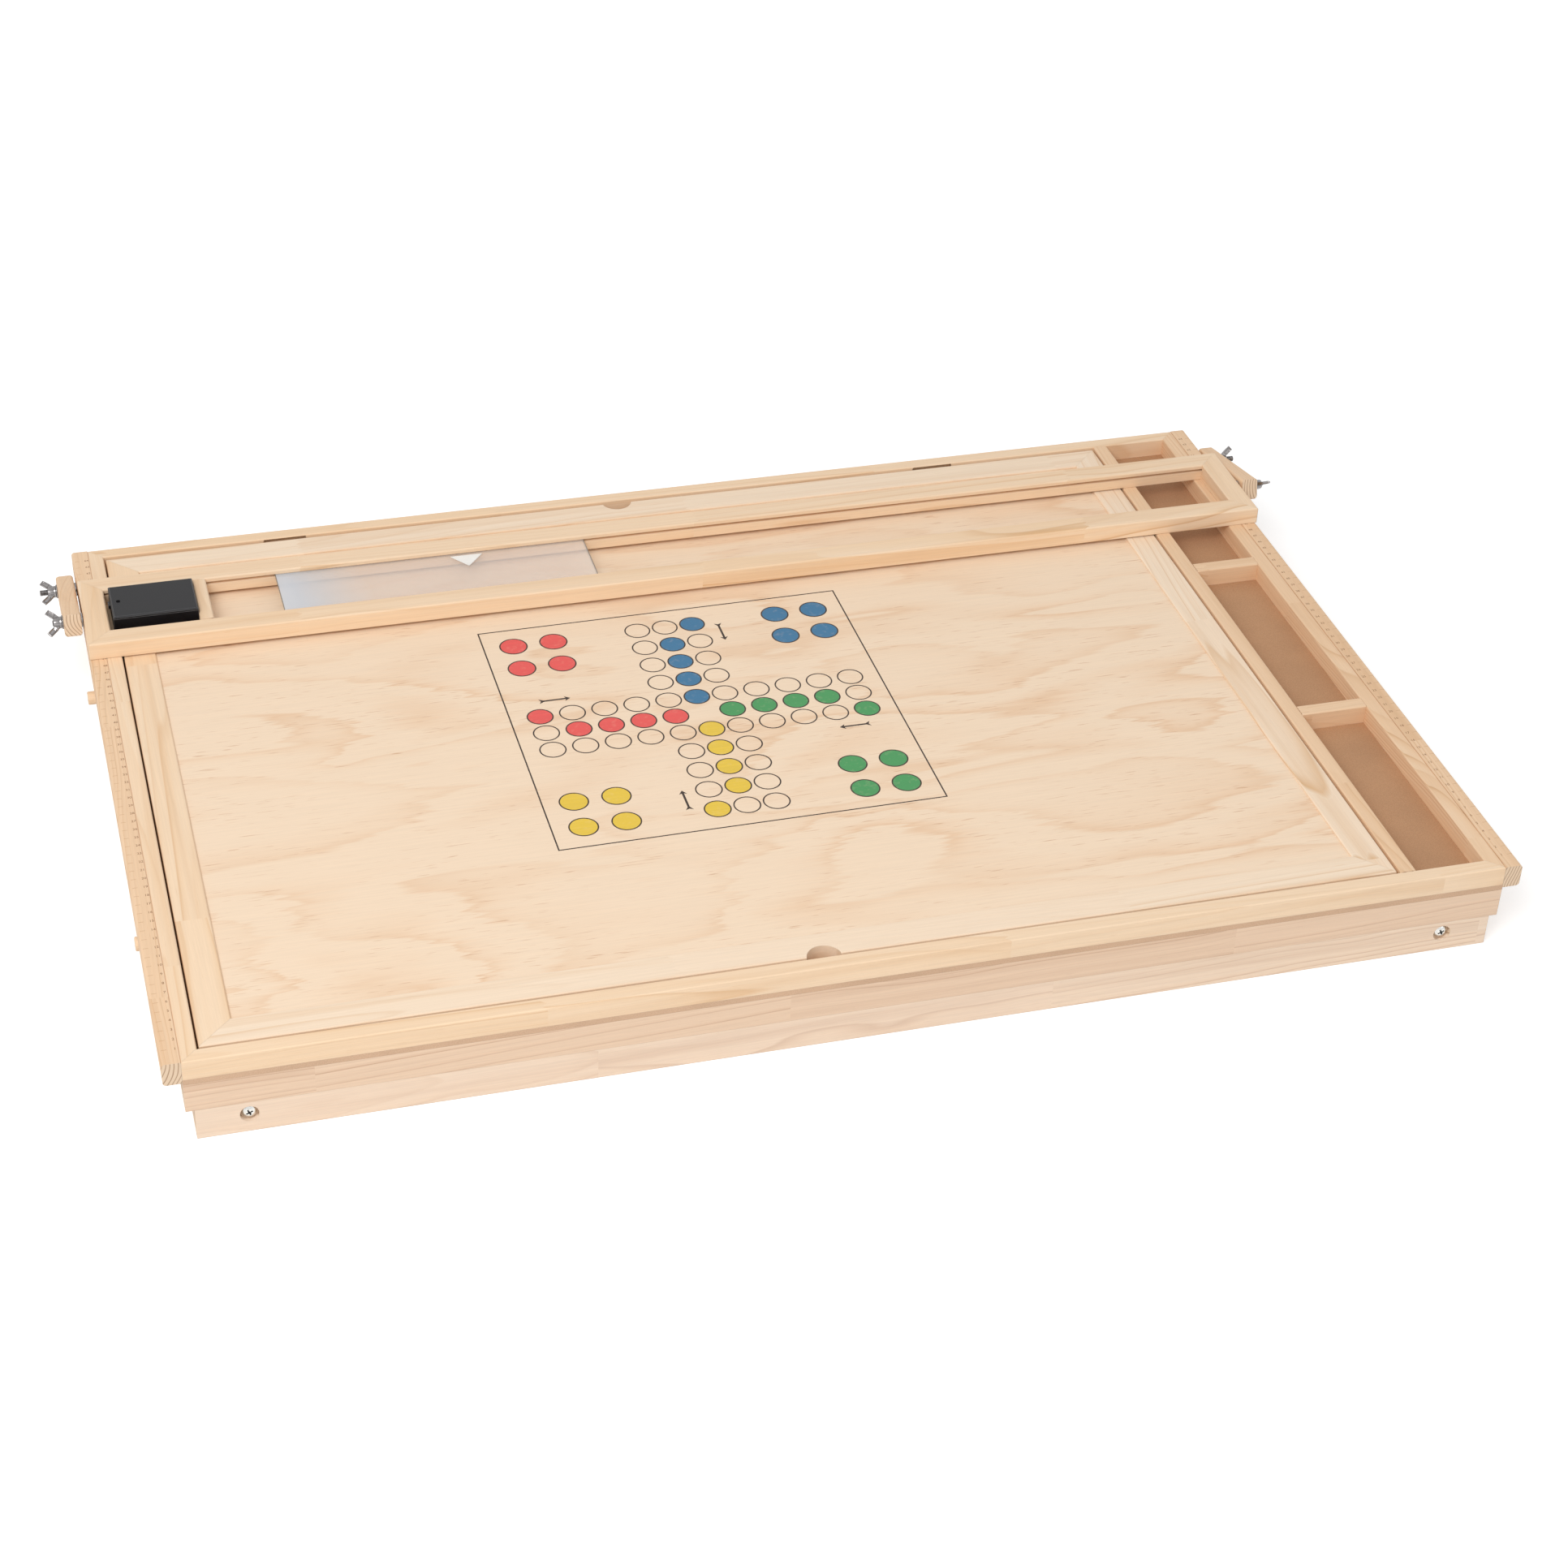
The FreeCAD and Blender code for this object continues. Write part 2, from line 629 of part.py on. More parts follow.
# Battery box with its lid, cells, contacts and switch
box = doc.addObject("PartDesign::Body", "battery_box")
plan = rectangle(box, "XY_Plane", "0", "box_length", "0", "box_depth", "battery_box_plan")
add(box, "Pad", plan, depth="box_height")
inside = rectangle(box, "XY_Plane", "box_wall", "box_length - box_wall", "box_wall",
                   "box_depth - box_wall", "battery_box_inside", lift="box_floor")
add(box, "Pocket", inside, reverse=True)
node(place(box, "box_x", "box_y", "box_bottom"))

lid = doc.addObject("PartDesign::Body", "battery_lid")
plan = rectangle(lid, "XY_Plane", "0", "box_length", "0", "box_depth", "battery_lid_plan")
add(lid, "Pad", plan, depth="lid_thickness")
ease_edges(lid, "lid_bevel", top_edges, "Chamfer")
node(place(lid, "box_x", "box_y", "box_bottom + box_height"))

lid_screw = rod("lid_screw", "lid_screw_radius", "lid_screw_height")
node(place(lid_screw, "box_x + lid_screw_inset", "box_y + box_depth / 2",
           "box_bottom + box_height + lid_thickness"))

cells = []
contacts = []
for number in range(3):
    cell_y = f"box_y + box_wall + cell_gap + cell_radius + {number} * (2 * cell_radius + cell_gap)"
    cell_z = "box_bottom + box_floor + cell_radius"
    cell = rod(f"battery_cell_{number}", "cell_radius", "cell_length")
    cells.append(place(cell, "box_x + box_wall + contact_room", cell_y, cell_z, Y_AXIS, 90))
    for end, end_sign in LEFT_RIGHT.items():
        label = f"{end}_battery_contact_{number}"
        contact = doc.addObject("PartDesign::Body", label)
        corners = [
            ("0", "-contact_half"),
            ("contact_thickness", "-contact_half"),
            ("contact_thickness", "contact_half - 2 * contact_thickness"),
            ("contact_room", "-contact_thickness"),
            ("contact_room", "contact_thickness"),
            ("2 * contact_thickness", "contact_half"),
            ("0", "contact_half"),
        ]
        profile = outline(contact, "XZ_Plane", corners, label + "_profile")
        leaf = add(contact, "Pad", profile, depth="contact_half")
        leaf.Midplane = True
        contact_x = "box_x + box_wall" if end_sign < 0 else "box_x + box_length - box_wall"
        contacts.append(place(contact, contact_x, cell_y, cell_z, Z_AXIS, 0 if end_sign < 0 else 180))
group("battery_cells", cells)
group("battery_contacts", contacts)

switch = doc.addObject("PartDesign::Body", "battery_switch")
face = rectangle(switch, "YZ_Plane", "0", "switch_length", "0", "switch_height", "battery_switch_face")
add(switch, "Pad", face, reverse=True, depth="switch_reach")
node(place(switch, "box_x", "box_y + box_depth * switch_share - switch_length / 2",
           "box_bottom + switch_level - switch_height / 2"))

# Studs in the bridge ends and bolts in the slide rails, all with wing nuts
studs = []
bolts = []
washers = []
axles = {"front": ("bridge_y", "tilt_level"), "back": ("slot_bolt_y", "slot_level")}
for side, sign in LEFT_RIGHT.items():
    outward = 90 * sign

    stud = rod(side + "_tilt_stud", "bolt_radius", "stud_end - slide_outside + stud_embed")
    studs.append(place(stud, f"{sign} * (slide_outside - stud_embed)", *axles["front"], Y_AXIS, outward))

    bolt_length = "bolt_end - frame_width / 2 - channel_depth + slot_clearance"
    bolt = lathe(side + "_slot_bolt", [
        ("0", "-bolt_head_height"),
        ("bolt_head_radius", "-bolt_head_height"),
        ("bolt_head_radius", "0"),
        ("bolt_radius", "0"),
        ("bolt_radius", bolt_length),
        ("0", bolt_length),
    ])
    seat = f"{sign} * (frame_width / 2 + channel_depth - slot_clearance)"
    bolts.append(place(bolt, seat, *axles["back"], Y_AXIS, outward))

    arm = doc.addObject("PartDesign::Body", side + "_arm")
    face = rectangle(arm, "YZ_Plane", "-arm_end", "arm_spacing + arm_end", "-arm_height / 2",
                     "arm_height / 2", side + "_arm_face")
    add(arm, "Pad", face, depth="arm_thickness")
    ease_edges(arm, "arm_round", edges_along_y)
    bores = rings(arm, "YZ_Plane", [("0", "0"), ("arm_spacing", "0")], "bolt_bore", side + "_arm_bores")
    add(arm, "Pocket", bores, reverse=True)
    near = "arm_inside" if sign > 0 else "-arm_outside"
    node(place(arm, near, *axles["back"], X_AXIS, ARM_TURN, "180 deg - asin(arm_rise / arm_spacing)"))

    for end, (axle_y, axle_z) in axles.items():
        layers = {
            "spacer": ("slide_outside + spacer_clearance", "arm_gap - spacer_clearance"),
            "washer": ("arm_outside", "washer_thickness"),
        }
        for layer, (seat, thickness) in layers.items():
            washer = lathe(f"{side}_{end}_{layer}", [
                ("bolt_radius + slot_clearance", "0"),
                ("washer_radius", "0"),
                ("washer_radius", thickness),
                ("bolt_radius + slot_clearance", thickness),
            ])
            washers.append(place(washer, f"{sign} * ({seat})", axle_y, axle_z, Y_AXIS, outward))

        label = f"{side}_{end}_wing_nut"
        nut = lathe(label, [
            ("bolt_bore", "0"),
            ("hub_radius", "0"),
            ("hub_radius", "hub_height"),
            ("bolt_bore", "hub_height"),
        ])
        for wing, wing_sign in LEFT_RIGHT.items():
            root = "(bolt_bore + hub_radius) / 2"
            corners = [(f"{wing_sign} * {root}", f"hub_height * {WING_ROOT[0]}")]
            for out, up in WING_RIM:
                corners.append((f"{wing_sign} * wing_half_span * {out}", f"wing_reach * {up}"))
            corners.append((f"{wing_sign} * {root}", f"hub_height * {WING_ROOT[1]}"))
            blade = outline(nut, "XZ_Plane", corners, f"{label}_{wing}_wing")
            pad = add(nut, "Pad", blade, depth="wing_thickness")
            pad.Midplane = True
        node(place(nut, f"{sign} * nut_seat", axle_y, axle_z, Y_AXIS, outward,
                   spin=WING_TURNS[side, end]))
group("tilt_studs", studs)
group("slot_bolts", bolts)
group("arm_washers", washers)

doc.recompute()
for item in doc.Objects:
    wrong = [state for state in item.State if state in ("Invalid", "Error")]
    if wrong:
        raise RuntimeError(f"{item.Label}: {wrong}")

os.makedirs("parts", exist_ok=True)
for piece in nodes:
    shape = piece.Shape
    if shape.isNull() or not shape.isValid():
        raise RuntimeError(f"{piece.Label}: no valid shape")
    shape.exportStep(f"parts/{piece.Label}.step")
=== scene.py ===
# Finishes, printed game, ruler marks, fasteners, camera and lamps of the jigsaw puzzle table.
# Metres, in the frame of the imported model: X along the table, -Y out of the front, Z up.
import json
import math

import bmesh
import bpy
from mathutils import Matrix, Vector

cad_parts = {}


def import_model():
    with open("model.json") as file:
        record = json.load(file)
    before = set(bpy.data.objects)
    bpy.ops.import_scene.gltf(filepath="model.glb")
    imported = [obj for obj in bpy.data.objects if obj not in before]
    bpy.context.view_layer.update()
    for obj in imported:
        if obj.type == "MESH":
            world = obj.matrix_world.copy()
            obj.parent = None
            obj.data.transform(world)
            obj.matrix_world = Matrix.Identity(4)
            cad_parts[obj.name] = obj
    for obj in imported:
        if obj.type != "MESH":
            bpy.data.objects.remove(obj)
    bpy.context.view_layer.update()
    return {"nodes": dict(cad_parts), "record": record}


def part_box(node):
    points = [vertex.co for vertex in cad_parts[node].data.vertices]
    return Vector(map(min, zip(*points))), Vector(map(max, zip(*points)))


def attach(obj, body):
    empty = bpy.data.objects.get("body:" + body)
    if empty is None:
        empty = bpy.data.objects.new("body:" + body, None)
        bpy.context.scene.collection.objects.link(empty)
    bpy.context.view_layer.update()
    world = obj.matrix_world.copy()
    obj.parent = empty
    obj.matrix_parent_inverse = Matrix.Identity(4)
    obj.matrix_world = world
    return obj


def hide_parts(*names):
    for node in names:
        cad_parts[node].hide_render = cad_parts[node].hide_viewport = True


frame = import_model()

MM = 0.001
WHITE = (1, 1, 1, 1)
Z_AXIS = 2
SIDES = {"left": -1, "right": 1}
SQUARE = ((-1, -1), (1, -1), (1, 1), (-1, 1))
EDGE_RADIUS = 0.6 * MM


def srgb(red, green, blue):
    """A colour as a screen shows it, from 0 to 255, turned into linear light."""
    linear = []
    for value in (red, green, blue):
        share = value / 255
        linear.append(share / 12.92 if share <= 0.04045 else ((share + 0.055) / 1.055) ** 2.4)
    return (*linear, 1.0)


class Shader:
    """A node tree under construction, of a material or of the world."""

    # The sockets that a mix node has for colours.
    MIX_ONE, MIX_OTHER, MIX_RESULT = 6, 7, 2

    def __init__(self, owner):
        self.owner = owner
        owner.use_nodes = True
        self.tree = owner.node_tree
        self.tree.nodes.clear()

    def node(self, kind, inputs=None, **settings):
        made = self.tree.nodes.new("ShaderNode" + kind)
        for key, value in settings.items():
            setattr(made, key, value)
        for key, value in (inputs or {}).items():
            if isinstance(value, bpy.types.NodeSocket):
                self.tree.links.new(value, made.inputs[key])
            else:
                made.inputs[key].default_value = value
        return made

    def math(self, operation, *values):
        return self.node("Math", dict(enumerate(values)), operation=operation).outputs[0]

    def vector(self, operation, *values):
        return self.node("VectorMath", dict(enumerate(values)), operation=operation).outputs

    def split(self, vector):
        return self.node("SeparateXYZ", {0: vector}).outputs

    def place(self):
        return self.node("TexCoord").outputs["Object"]

    def squarely(self, axis):
        """How squarely a face looks along an axis, from 0 to 1."""
        normal = self.node("TexCoord").outputs["Normal"]
        return self.math("ABSOLUTE", self.split(normal)[axis])

    def noise(self, vector, scale, detail=2.0, roughness=0.5, distortion=0.0):
        """Noise with a number of waves per metre, or with one number for each axis."""
        if isinstance(scale, tuple):
            vector = self.vector("MULTIPLY", vector, scale)[0]
            scale = 1.0
        inputs = {
            "Vector": vector,
            "Scale": scale,
            "Detail": detail,
            "Roughness": roughness,
            "Distortion": distortion,
        }
        return self.node("TexNoise", inputs).outputs["Fac"]

    def draw(self, seed):
        """A random value and colour for each seed."""
        return self.node("TexWhiteNoise", {"W": seed}, noise_dimensions="1D").outputs

    def ramp(self, factor, stops):
        """A colour ramp from (position, colour) stops; a plain number is a grey."""
        made = self.node("ValToRGB", {"Fac": factor})
        while len(made.color_ramp.elements) < len(stops):
            made.color_ramp.elements.new(0.5)
        for element, (position, colour) in zip(made.color_ramp.elements, stops):
            element.position = position
            element.color = colour if isinstance(colour, tuple) else (colour, colour, colour, 1)
        return made.outputs["Color"]

    def mix(self, factor, one, other, blend="MIX"):
        inputs = {"Factor": factor, self.MIX_ONE: one, self.MIX_OTHER: other}
        made = self.node("Mix", inputs, data_type="RGBA", blend_type=blend)
        return made.outputs[self.MIX_RESULT]

    def shade(self, colour, factor, stops):
        """Multiply a colour by a ramp."""
        return self.mix(1.0, colour, self.ramp(factor, stops), "MULTIPLY")

    def span(self, factor, low, high):
        """Stretch a value from 0 to 1 over a range."""
        made = self.node("MapRange", {"Value": factor, "To Min": low, "To Max": high})
        return made.outputs["Result"]

    def bump(self, height, distance, strength, normal=None):
        inputs = {"Height": height, "Distance": distance, "Strength": strength}
        if normal:
            inputs["Normal"] = normal
        return self.node("Bump", inputs).outputs["Normal"]

    def rim_wear_and_light(self, colour, rim, share, radius=EDGE_RADIUS):
        """Give slightly rounded edges a share of another colour: wear on the woods, a painted highlight on
        the plastics and pale metals, painted shade on the pressed steel; also return their normal.
        """
        rounded = self.node("Bevel", {"Radius": radius}, samples=4).outputs[0]
        flat = self.node("NewGeometry").outputs["True Normal"]
        alike = self.vector("DOT_PRODUCT", flat, rounded)["Value"]
        edge = self.ramp(alike, [(0.86, 1.0), (0.985, 0.0)])
        return self.mix(self.math("MULTIPLY", edge, share), colour, rim), rounded

    def finish(self, **sockets):
        """Close a material with a principled surface."""
        inputs = {name.replace("_", " "): value for name, value in sockets.items()}
        surface = self.node("BsdfPrincipled", inputs)
        self.node("OutputMaterial", {"Surface": surface.outputs[0]})
        return self.owner


def new_material(name):
    return Shader(bpy.data.materials.new(name))


# Wood
# Spacing of the growth rings, and how near and far the pith lies.
WIDE_RINGS = {"spacing": 6.6 * MM, "near": 12 * MM, "far": 52 * MM}
CLOSE_RINGS = {"spacing": 2.6 * MM, "near": 14 * MM, "far": 46 * MM}
STRAIGHT_RINGS = {"spacing": 3.8 * MM, "near": 60 * MM, "far": 120 * MM}
# Colours of early, mixed and late wood.
PINES = {
    "honey": {
        "light": srgb(245, 219, 189),
        "middle": srgb(240, 207, 170),
        "late": srgb(217, 170, 119),
        **WIDE_RINGS,
    },
    "amber": {
        "light": srgb(240, 208, 174),
        "middle": srgb(231, 193, 154),
        "late": srgb(205, 158, 110),
        **CLOSE_RINGS,
    },
    "pale": {
        "light": srgb(247, 227, 203),
        "middle": srgb(242, 215, 186),
        "late": srgb(216, 172, 124),
        **WIDE_RINGS,
    },
    "rosy": {
        "light": srgb(244, 222, 200),
        "middle": srgb(238, 212, 187),
        "late": srgb(209, 175, 149),
        **STRAIGHT_RINGS,
    },
    "tawny": {
        "light": srgb(237, 209, 183),
        "middle": srgb(229, 197, 169),
        "late": srgb(202, 164, 136),
        **STRAIGHT_RINGS,
    },
}
END_LIGHT = srgb(229, 203, 174)
END_DARK = srgb(165, 129, 99)
RUBBED = srgb(247, 225, 198)
PINE_RUB = 0.4
WARM_LOT = (0.975, 0.955, 0.925, 1)
COOL_LOT = (1.01, 1.02, 1.03, 1)
LOT_LENGTH = 330 * MM
FINGER_PITCH = 3.2 * MM
FINGER_DEPTH = 5.0 * MM
GRAIN_LEAN = 0.022
GRAIN_BEND = 13 * MM
TRUNK_TAPER = 0.03
RING_WAVER = 1.1
RING_RELIEF = 0.35
PINE_RELIEF = 0.10 * MM
WOOD_BUMP = 0.45
WOOD_GLOSS = 0.35
# Factors that give each piece, each length in it and each year in a length values of their own.
PIECE_SHIFT = 7.0
PIECE_SEED = 57.0
LOT_SHIFT = 40.0
LOT_SEED = 31.7
# Waves per metre along the grain and, twice, across it.
BEND_WAVES = (3.2, 9, 9)
WAVER_WAVES = (1.6, 45, 45)
FADE_WAVES = (2.5, 30, 30)
STREAK_WAVES = (1.3, 70, 70)
FIBRE_WAVES = (14, 900, 900)
DASH_WAVES = (60, 1400, 1400)


def pine(name, axis, tone):
    """Finger-jointed pine: every length of it has growth rings about a pith of its own."""
    kind = PINES[tone]
    light, middle, late = kind["light"], kind["middle"], kind["late"]
    shader = new_material(name)
    chance = shader.node("ObjectInfo").outputs["Random"]
    core = shader.node("Attribute", attribute_type="OBJECT", attribute_name="core").outputs["Vector"]
    parts = shader.split(shader.vector("SUBTRACT", shader.place(), core)[0])
    along, one, other = (parts[(axis + step) % 3] for step in range(3))

    fingers = shader.math("PINGPONG", one, FINGER_PITCH)
    seam = shader.math("MULTIPLY_ADD", fingers, FINGER_DEPTH / FINGER_PITCH, along)
    count = shader.math("MULTIPLY_ADD", seam, 1 / LOT_LENGTH, shader.math("MULTIPLY", chance, PIECE_SHIFT))
    lot = shader.math("MULTIPLY_ADD", chance, PIECE_SEED, shader.math("FLOOR", count))
    lots = shader.node("SeparateColor", {0: shader.draw(lot)["Color"]}).outputs
    turn_share, reach_share, tone_share = lots

    # The grain of each length leans a little, so its lines run out at the edges.
    shift = shader.math("MULTIPLY", turn_share, LOT_SHIFT)
    lean = shader.span(reach_share, -GRAIN_LEAN, GRAIN_LEAN)
    one = shader.math("MULTIPLY_ADD", along, lean, one)
    other = shader.math("MULTIPLY_ADD", along, lean, other)
    grain = shader.node("CombineXYZ", {0: shader.math("ADD", along, shift), 1: one, 2: other}).outputs[0]
    bend = shader.span(shader.noise(grain, BEND_WAVES), -GRAIN_BEND, GRAIN_BEND)
    turn = shader.math("MULTIPLY", turn_share, 2 * math.pi)
    reach = shader.span(reach_share, kind["near"], kind["far"])
    squares = []
    for side, function in ((one, "COSINE"), (other, "SINE")):
        pith = shader.math("MULTIPLY", shader.math(function, turn), reach)
        distance = shader.math("ADD", shader.math("ADD", side, pith), bend)
        squares.append(shader.math("MULTIPLY", distance, distance))
    radius = shader.math("SQRT", shader.math("ADD", *squares))
    radius = shader.math("MULTIPLY_ADD", along, TRUNK_TAPER, radius)
    waver = shader.span(shader.noise(grain, WAVER_WAVES, 1.0), -RING_WAVER, RING_WAVER)
    rings = shader.math("MULTIPLY_ADD", radius, 1 / kind["spacing"], waver)
    phase = shader.math("FRACT", rings)

    # Few years leave a strong line of late wood, and no line is strong all along.
    year = shader.math("MULTIPLY_ADD", lot, LOT_SEED, shader.math("FLOOR", rings))
    strength = shader.ramp(shader.draw(year)["Value"], [(0.0, 0.05), (0.6, 0.28), (1.0, 0.95)])
    fade = shader.ramp(shader.noise(grain, FADE_WAVES, 1.0), [(0.30, 0.25), (0.66, 1.0)])
    lines = shader.ramp(phase, [(0.0, light), (0.30, light), (0.74, middle), (0.92, late), (1.0, light)])
    plain = shader.mix(tone_share, light, middle)
    wood = shader.mix(shader.math("MULTIPLY", strength, fade), plain, lines)
    streak = shader.noise(grain, STREAK_WAVES)
    wood = shader.mix(shader.ramp(streak, [(0.52, 0.0), (0.72, 0.34)]), wood, late)
    fibre = shader.noise(grain, FIBRE_WAVES, 3.0, 0.65)
    wood = shader.shade(wood, fibre, [(0.3, 0.95), (0.7, 1.03)])
    dash = shader.noise(grain, DASH_WAVES, 1.0)
    wood = shader.mix(shader.ramp(dash, [(0.70, 0.0), (0.79, 0.25)]), wood, late)
    wood = shader.shade(wood, tone_share, [(0.0, WARM_LOT), (0.5, 1.0), (1.0, COOL_LOT)])

    end = shader.ramp(shader.squarely(axis), [(0.8, 0.0), (0.9, 1.0)])
    cut = shader.ramp(phase, [(0.0, END_LIGHT), (0.6, END_LIGHT), (0.88, END_DARK), (1.0, END_LIGHT)])
    wood, rounded = shader.rim_wear_and_light(shader.mix(end, wood, cut), RUBBED, PINE_RUB)
    relief = shader.math("ADD", fibre, shader.math("MULTIPLY", phase, RING_RELIEF))
    return shader.finish(
        Base_Color=wood,
        Roughness=shader.span(fibre, 0.48, 0.68),
        Normal=shader.bump(relief, PINE_RELIEF, WOOD_BUMP, rounded),
        Specular_IOR_Level=WOOD_GLOSS,
    )


PLY_LIGHT = srgb(244, 219, 191)
PLY_WARM = srgb(241, 211, 180)
PLY_DEEP = srgb(234, 198, 163)
PLY_FLECK = srgb(206, 160, 122)
PLY_RELIEF = 0.07 * MM
PLY_LAYERS = 7.0
BOARD_RUB = 0.3
FRAY_REACH = 30 * MM
# Waves per metre along X, Y and Z.
FRAY_WAVES = (5, 170, 170)
LAYER_WAVES = (3.4, 9.6, 1)
CLOUD_WAVES = (4, 11, 1)
ZONE_WAVES = (5, 12, 1)
VENEER_WAVES = (16, 520, 520)
FLECK_WAVES = (56, 900, 900)


def plywood(name):
    """Rotary-cut veneer: pale flame-shaped islands with frayed ends, and fine flecks along X."""
    shader = new_material(name)
    place = shader.place()
    x, y, z = shader.split(place)
    fray = shader.noise(place, FRAY_WAVES, 2.0, 0.6)
    drawn = shader.math("ADD", x, shader.span(fray, -FRAY_REACH, FRAY_REACH))
    warped = shader.node("CombineXYZ", {0: drawn, 1: y, 2: z}).outputs[0]
    layers = shader.noise(warped, LAYER_WAVES, 2.0, 0.45, 0.5)
    phase = shader.math("FRACT", shader.math("MULTIPLY", layers, PLY_LAYERS))
    wood = shader.ramp(phase, [
        (0.0, PLY_LIGHT),
        (0.38, PLY_LIGHT),
        (0.74, PLY_WARM),
        (0.92, PLY_DEEP),
        (1.0, PLY_LIGHT),
    ])
    cloud = shader.noise(place, CLOUD_WAVES)
    wood = shader.mix(shader.ramp(cloud, [(0.38, 0.72), (0.62, 0.08)]), wood, PLY_LIGHT)
    fibre = shader.noise(place, VENEER_WAVES, 3.0, 0.65)
    wood = shader.shade(wood, fibre, [(0.3, 0.965), (0.7, 1.02)])
    fleck = shader.ramp(shader.noise(place, FLECK_WAVES, 1.5), [(0.64, 0.0), (0.74, 1.0)])
    zone = shader.ramp(shader.noise(warped, ZONE_WAVES, 1.0), [(0.42, 0.16), (0.62, 0.7)])
    border = shader.ramp(phase, [(0.55, 0.0), (0.85, 0.8), (1.0, 0.1)])
    zone = shader.math("MAXIMUM", zone, border)
    wood = shader.mix(shader.math("MULTIPLY", fleck, zone), wood, PLY_FLECK)
    wood, rounded = shader.rim_wear_and_light(wood, RUBBED, BOARD_RUB)
    return shader.finish(
        Base_Color=wood,
        Roughness=shader.span(fibre, 0.46, 0.62),
        Normal=shader.bump(fibre, PLY_RELIEF, WOOD_BUMP, rounded),
        Specular_IOR_Level=WOOD_GLOSS,
    )


FELT_DARK = srgb(172, 130, 96)
FELT_LIGHT = srgb(198, 155, 119)
FELT_RUBBED = srgb(226, 194, 164)
SAWN_DARK = srgb(196, 160, 130)
SAWN_LIGHT = srgb(222, 188, 158)
FELT_SCALE = 1500.0
FELT_CLOUD_SCALE = 26.0
FELT_RELIEF = 0.1 * MM


def fibreboard(name):
    """Raw fibreboard: felted fibres, darker on its level faces and paler on its upright cut edges."""
    shader = new_material(name)
    place = shader.place()
    felt = shader.noise(place, FELT_SCALE, 4.0, 0.7, 0.4)
    cloud = shader.noise(place, FELT_CLOUD_SCALE, 3.0)
    face = shader.ramp(felt, [(0.3, FELT_DARK), (0.7, FELT_LIGHT)])
    edge_tone = shader.ramp(felt, [(0.3, SAWN_DARK), (0.7, SAWN_LIGHT)])
    # The darker colour of the level faces is partly the board's own tone and partly painted shade; the
    # upright cut edges are paler.
    level = shader.ramp(shader.squarely(Z_AXIS), [(0.4, 0.0), (0.6, 1.0)])
    board = shader.shade(shader.mix(level, edge_tone, face), cloud, [(0.3, 0.95), (0.7, 1.04)])
    board, rounded = shader.rim_wear_and_light(board, FELT_RUBBED, BOARD_RUB)
    return shader.finish(
        Base_Color=board,
        Roughness=shader.span(felt, 0.7, 0.85),
        Normal=shader.bump(felt, FELT_RELIEF, 0.5, rounded),
        Specular_IOR_Level=0.25,
    )


# Metal and plastics
METAL_EDGE = 0.4 * MM
# A pale rim colour that paints a highlight along the edges.
HIGHLIGHT_RIM_METAL = srgb(236, 235, 231)
# A dark rim colour that paints shade along the edges.
SHADED_RIM_METAL = srgb(46, 43, 42)
MOTTLE_SCALE = 900.0
SCRATCH_WAVES = (300, 4000, 4000)
SCRATCH_RELIEF = 0.02 * MM
# How far the painted shade in hollows reaches.
PAINTED_SHADE_REACH = 2.5 * MM


def metal(name, colour, roughness, rim, share):
    """Plated metal with faint tumbling marks, painted shade in its hollows, and rims painted in another
    tone: a painted highlight where it is paler, painted shade where it is darker.
    """
    shader = new_material(name)
    place = shader.place()
    mottle = shader.noise(place, MOTTLE_SCALE, 3.0, 0.6)
    scratch = shader.noise(place, SCRATCH_WAVES)
    tint = shader.shade(colour, mottle, [(0.3, 0.8), (0.7, 1.1)])
    # Painted shade: hollows that ambient occlusion finds are darkened in the colour.
    hollow = shader.node("AmbientOcclusion", {"Distance": PAINTED_SHADE_REACH}, samples=8, only_local=True)
    tint = shader.shade(tint, hollow.outputs["AO"], [(0.40, 0.18), (0.90, 1.0)])
    tint, rounded = shader.rim_wear_and_light(tint, rim, share, METAL_EDGE)
    return shader.finish(
        Base_Color=tint,
        Metallic=1.0,
        Roughness=shader.span(mottle, roughness - 0.08, roughness + 0.12),
        Normal=shader.bump(scratch, SCRATCH_RELIEF, 0.4, rounded),
    )


SPARK_SCALE = 2600.0
SPARK_RELIEF = 0.03 * MM
RUB_SCALE = 70.0
PLASTIC_RIM_SHARE = 0.35


def moulded(name, dark, light, roughness, rim_wear_and_light, gloss=0.35):
    """Moulded plastic with a fine spark-eroded grain, a rubbed sheen and paler edges painted as a
    highlight.
    """
    shader = new_material(name)
    place = shader.place()
    grain = shader.noise(place, SPARK_SCALE, 2.0, 0.6)
    rub = shader.noise(place, RUB_SCALE, 3.0)
    tint = shader.ramp(rub, [(0.3, dark), (0.72, light)])
    tint, rounded = shader.rim_wear_and_light(tint, rim_wear_and_light, PLASTIC_RIM_SHARE)
    return shader.finish(
        Base_Color=tint,
        Roughness=shader.span(rub, roughness, roughness + 0.14),
        Normal=shader.bump(grain, SPARK_RELIEF, 0.6, rounded),
        Specular_IOR_Level=gloss,
    )


ACRYLIC_IOR = 1.49
REFLECTED_TINT = srgb(228, 233, 240)
CLEAR_TINT = srgb(252, 240, 230)
REFLECTED_VEIL = 0.60
CLEAR_VEIL = 0.33
REFLECTION_END = 95 * MM
MILK_HAZE = 0.5
HAZE_WAVES = (7, 14, 1)
GROOVE_SCALE = 160.0
GROOVE_RELIEF = 0.02 * MM
EDGE_SHADE_ACRYLIC = srgb(136, 124, 110)
EDGE_SHADE_COVER = 0.7
LENS_RIM = 0.6 * MM


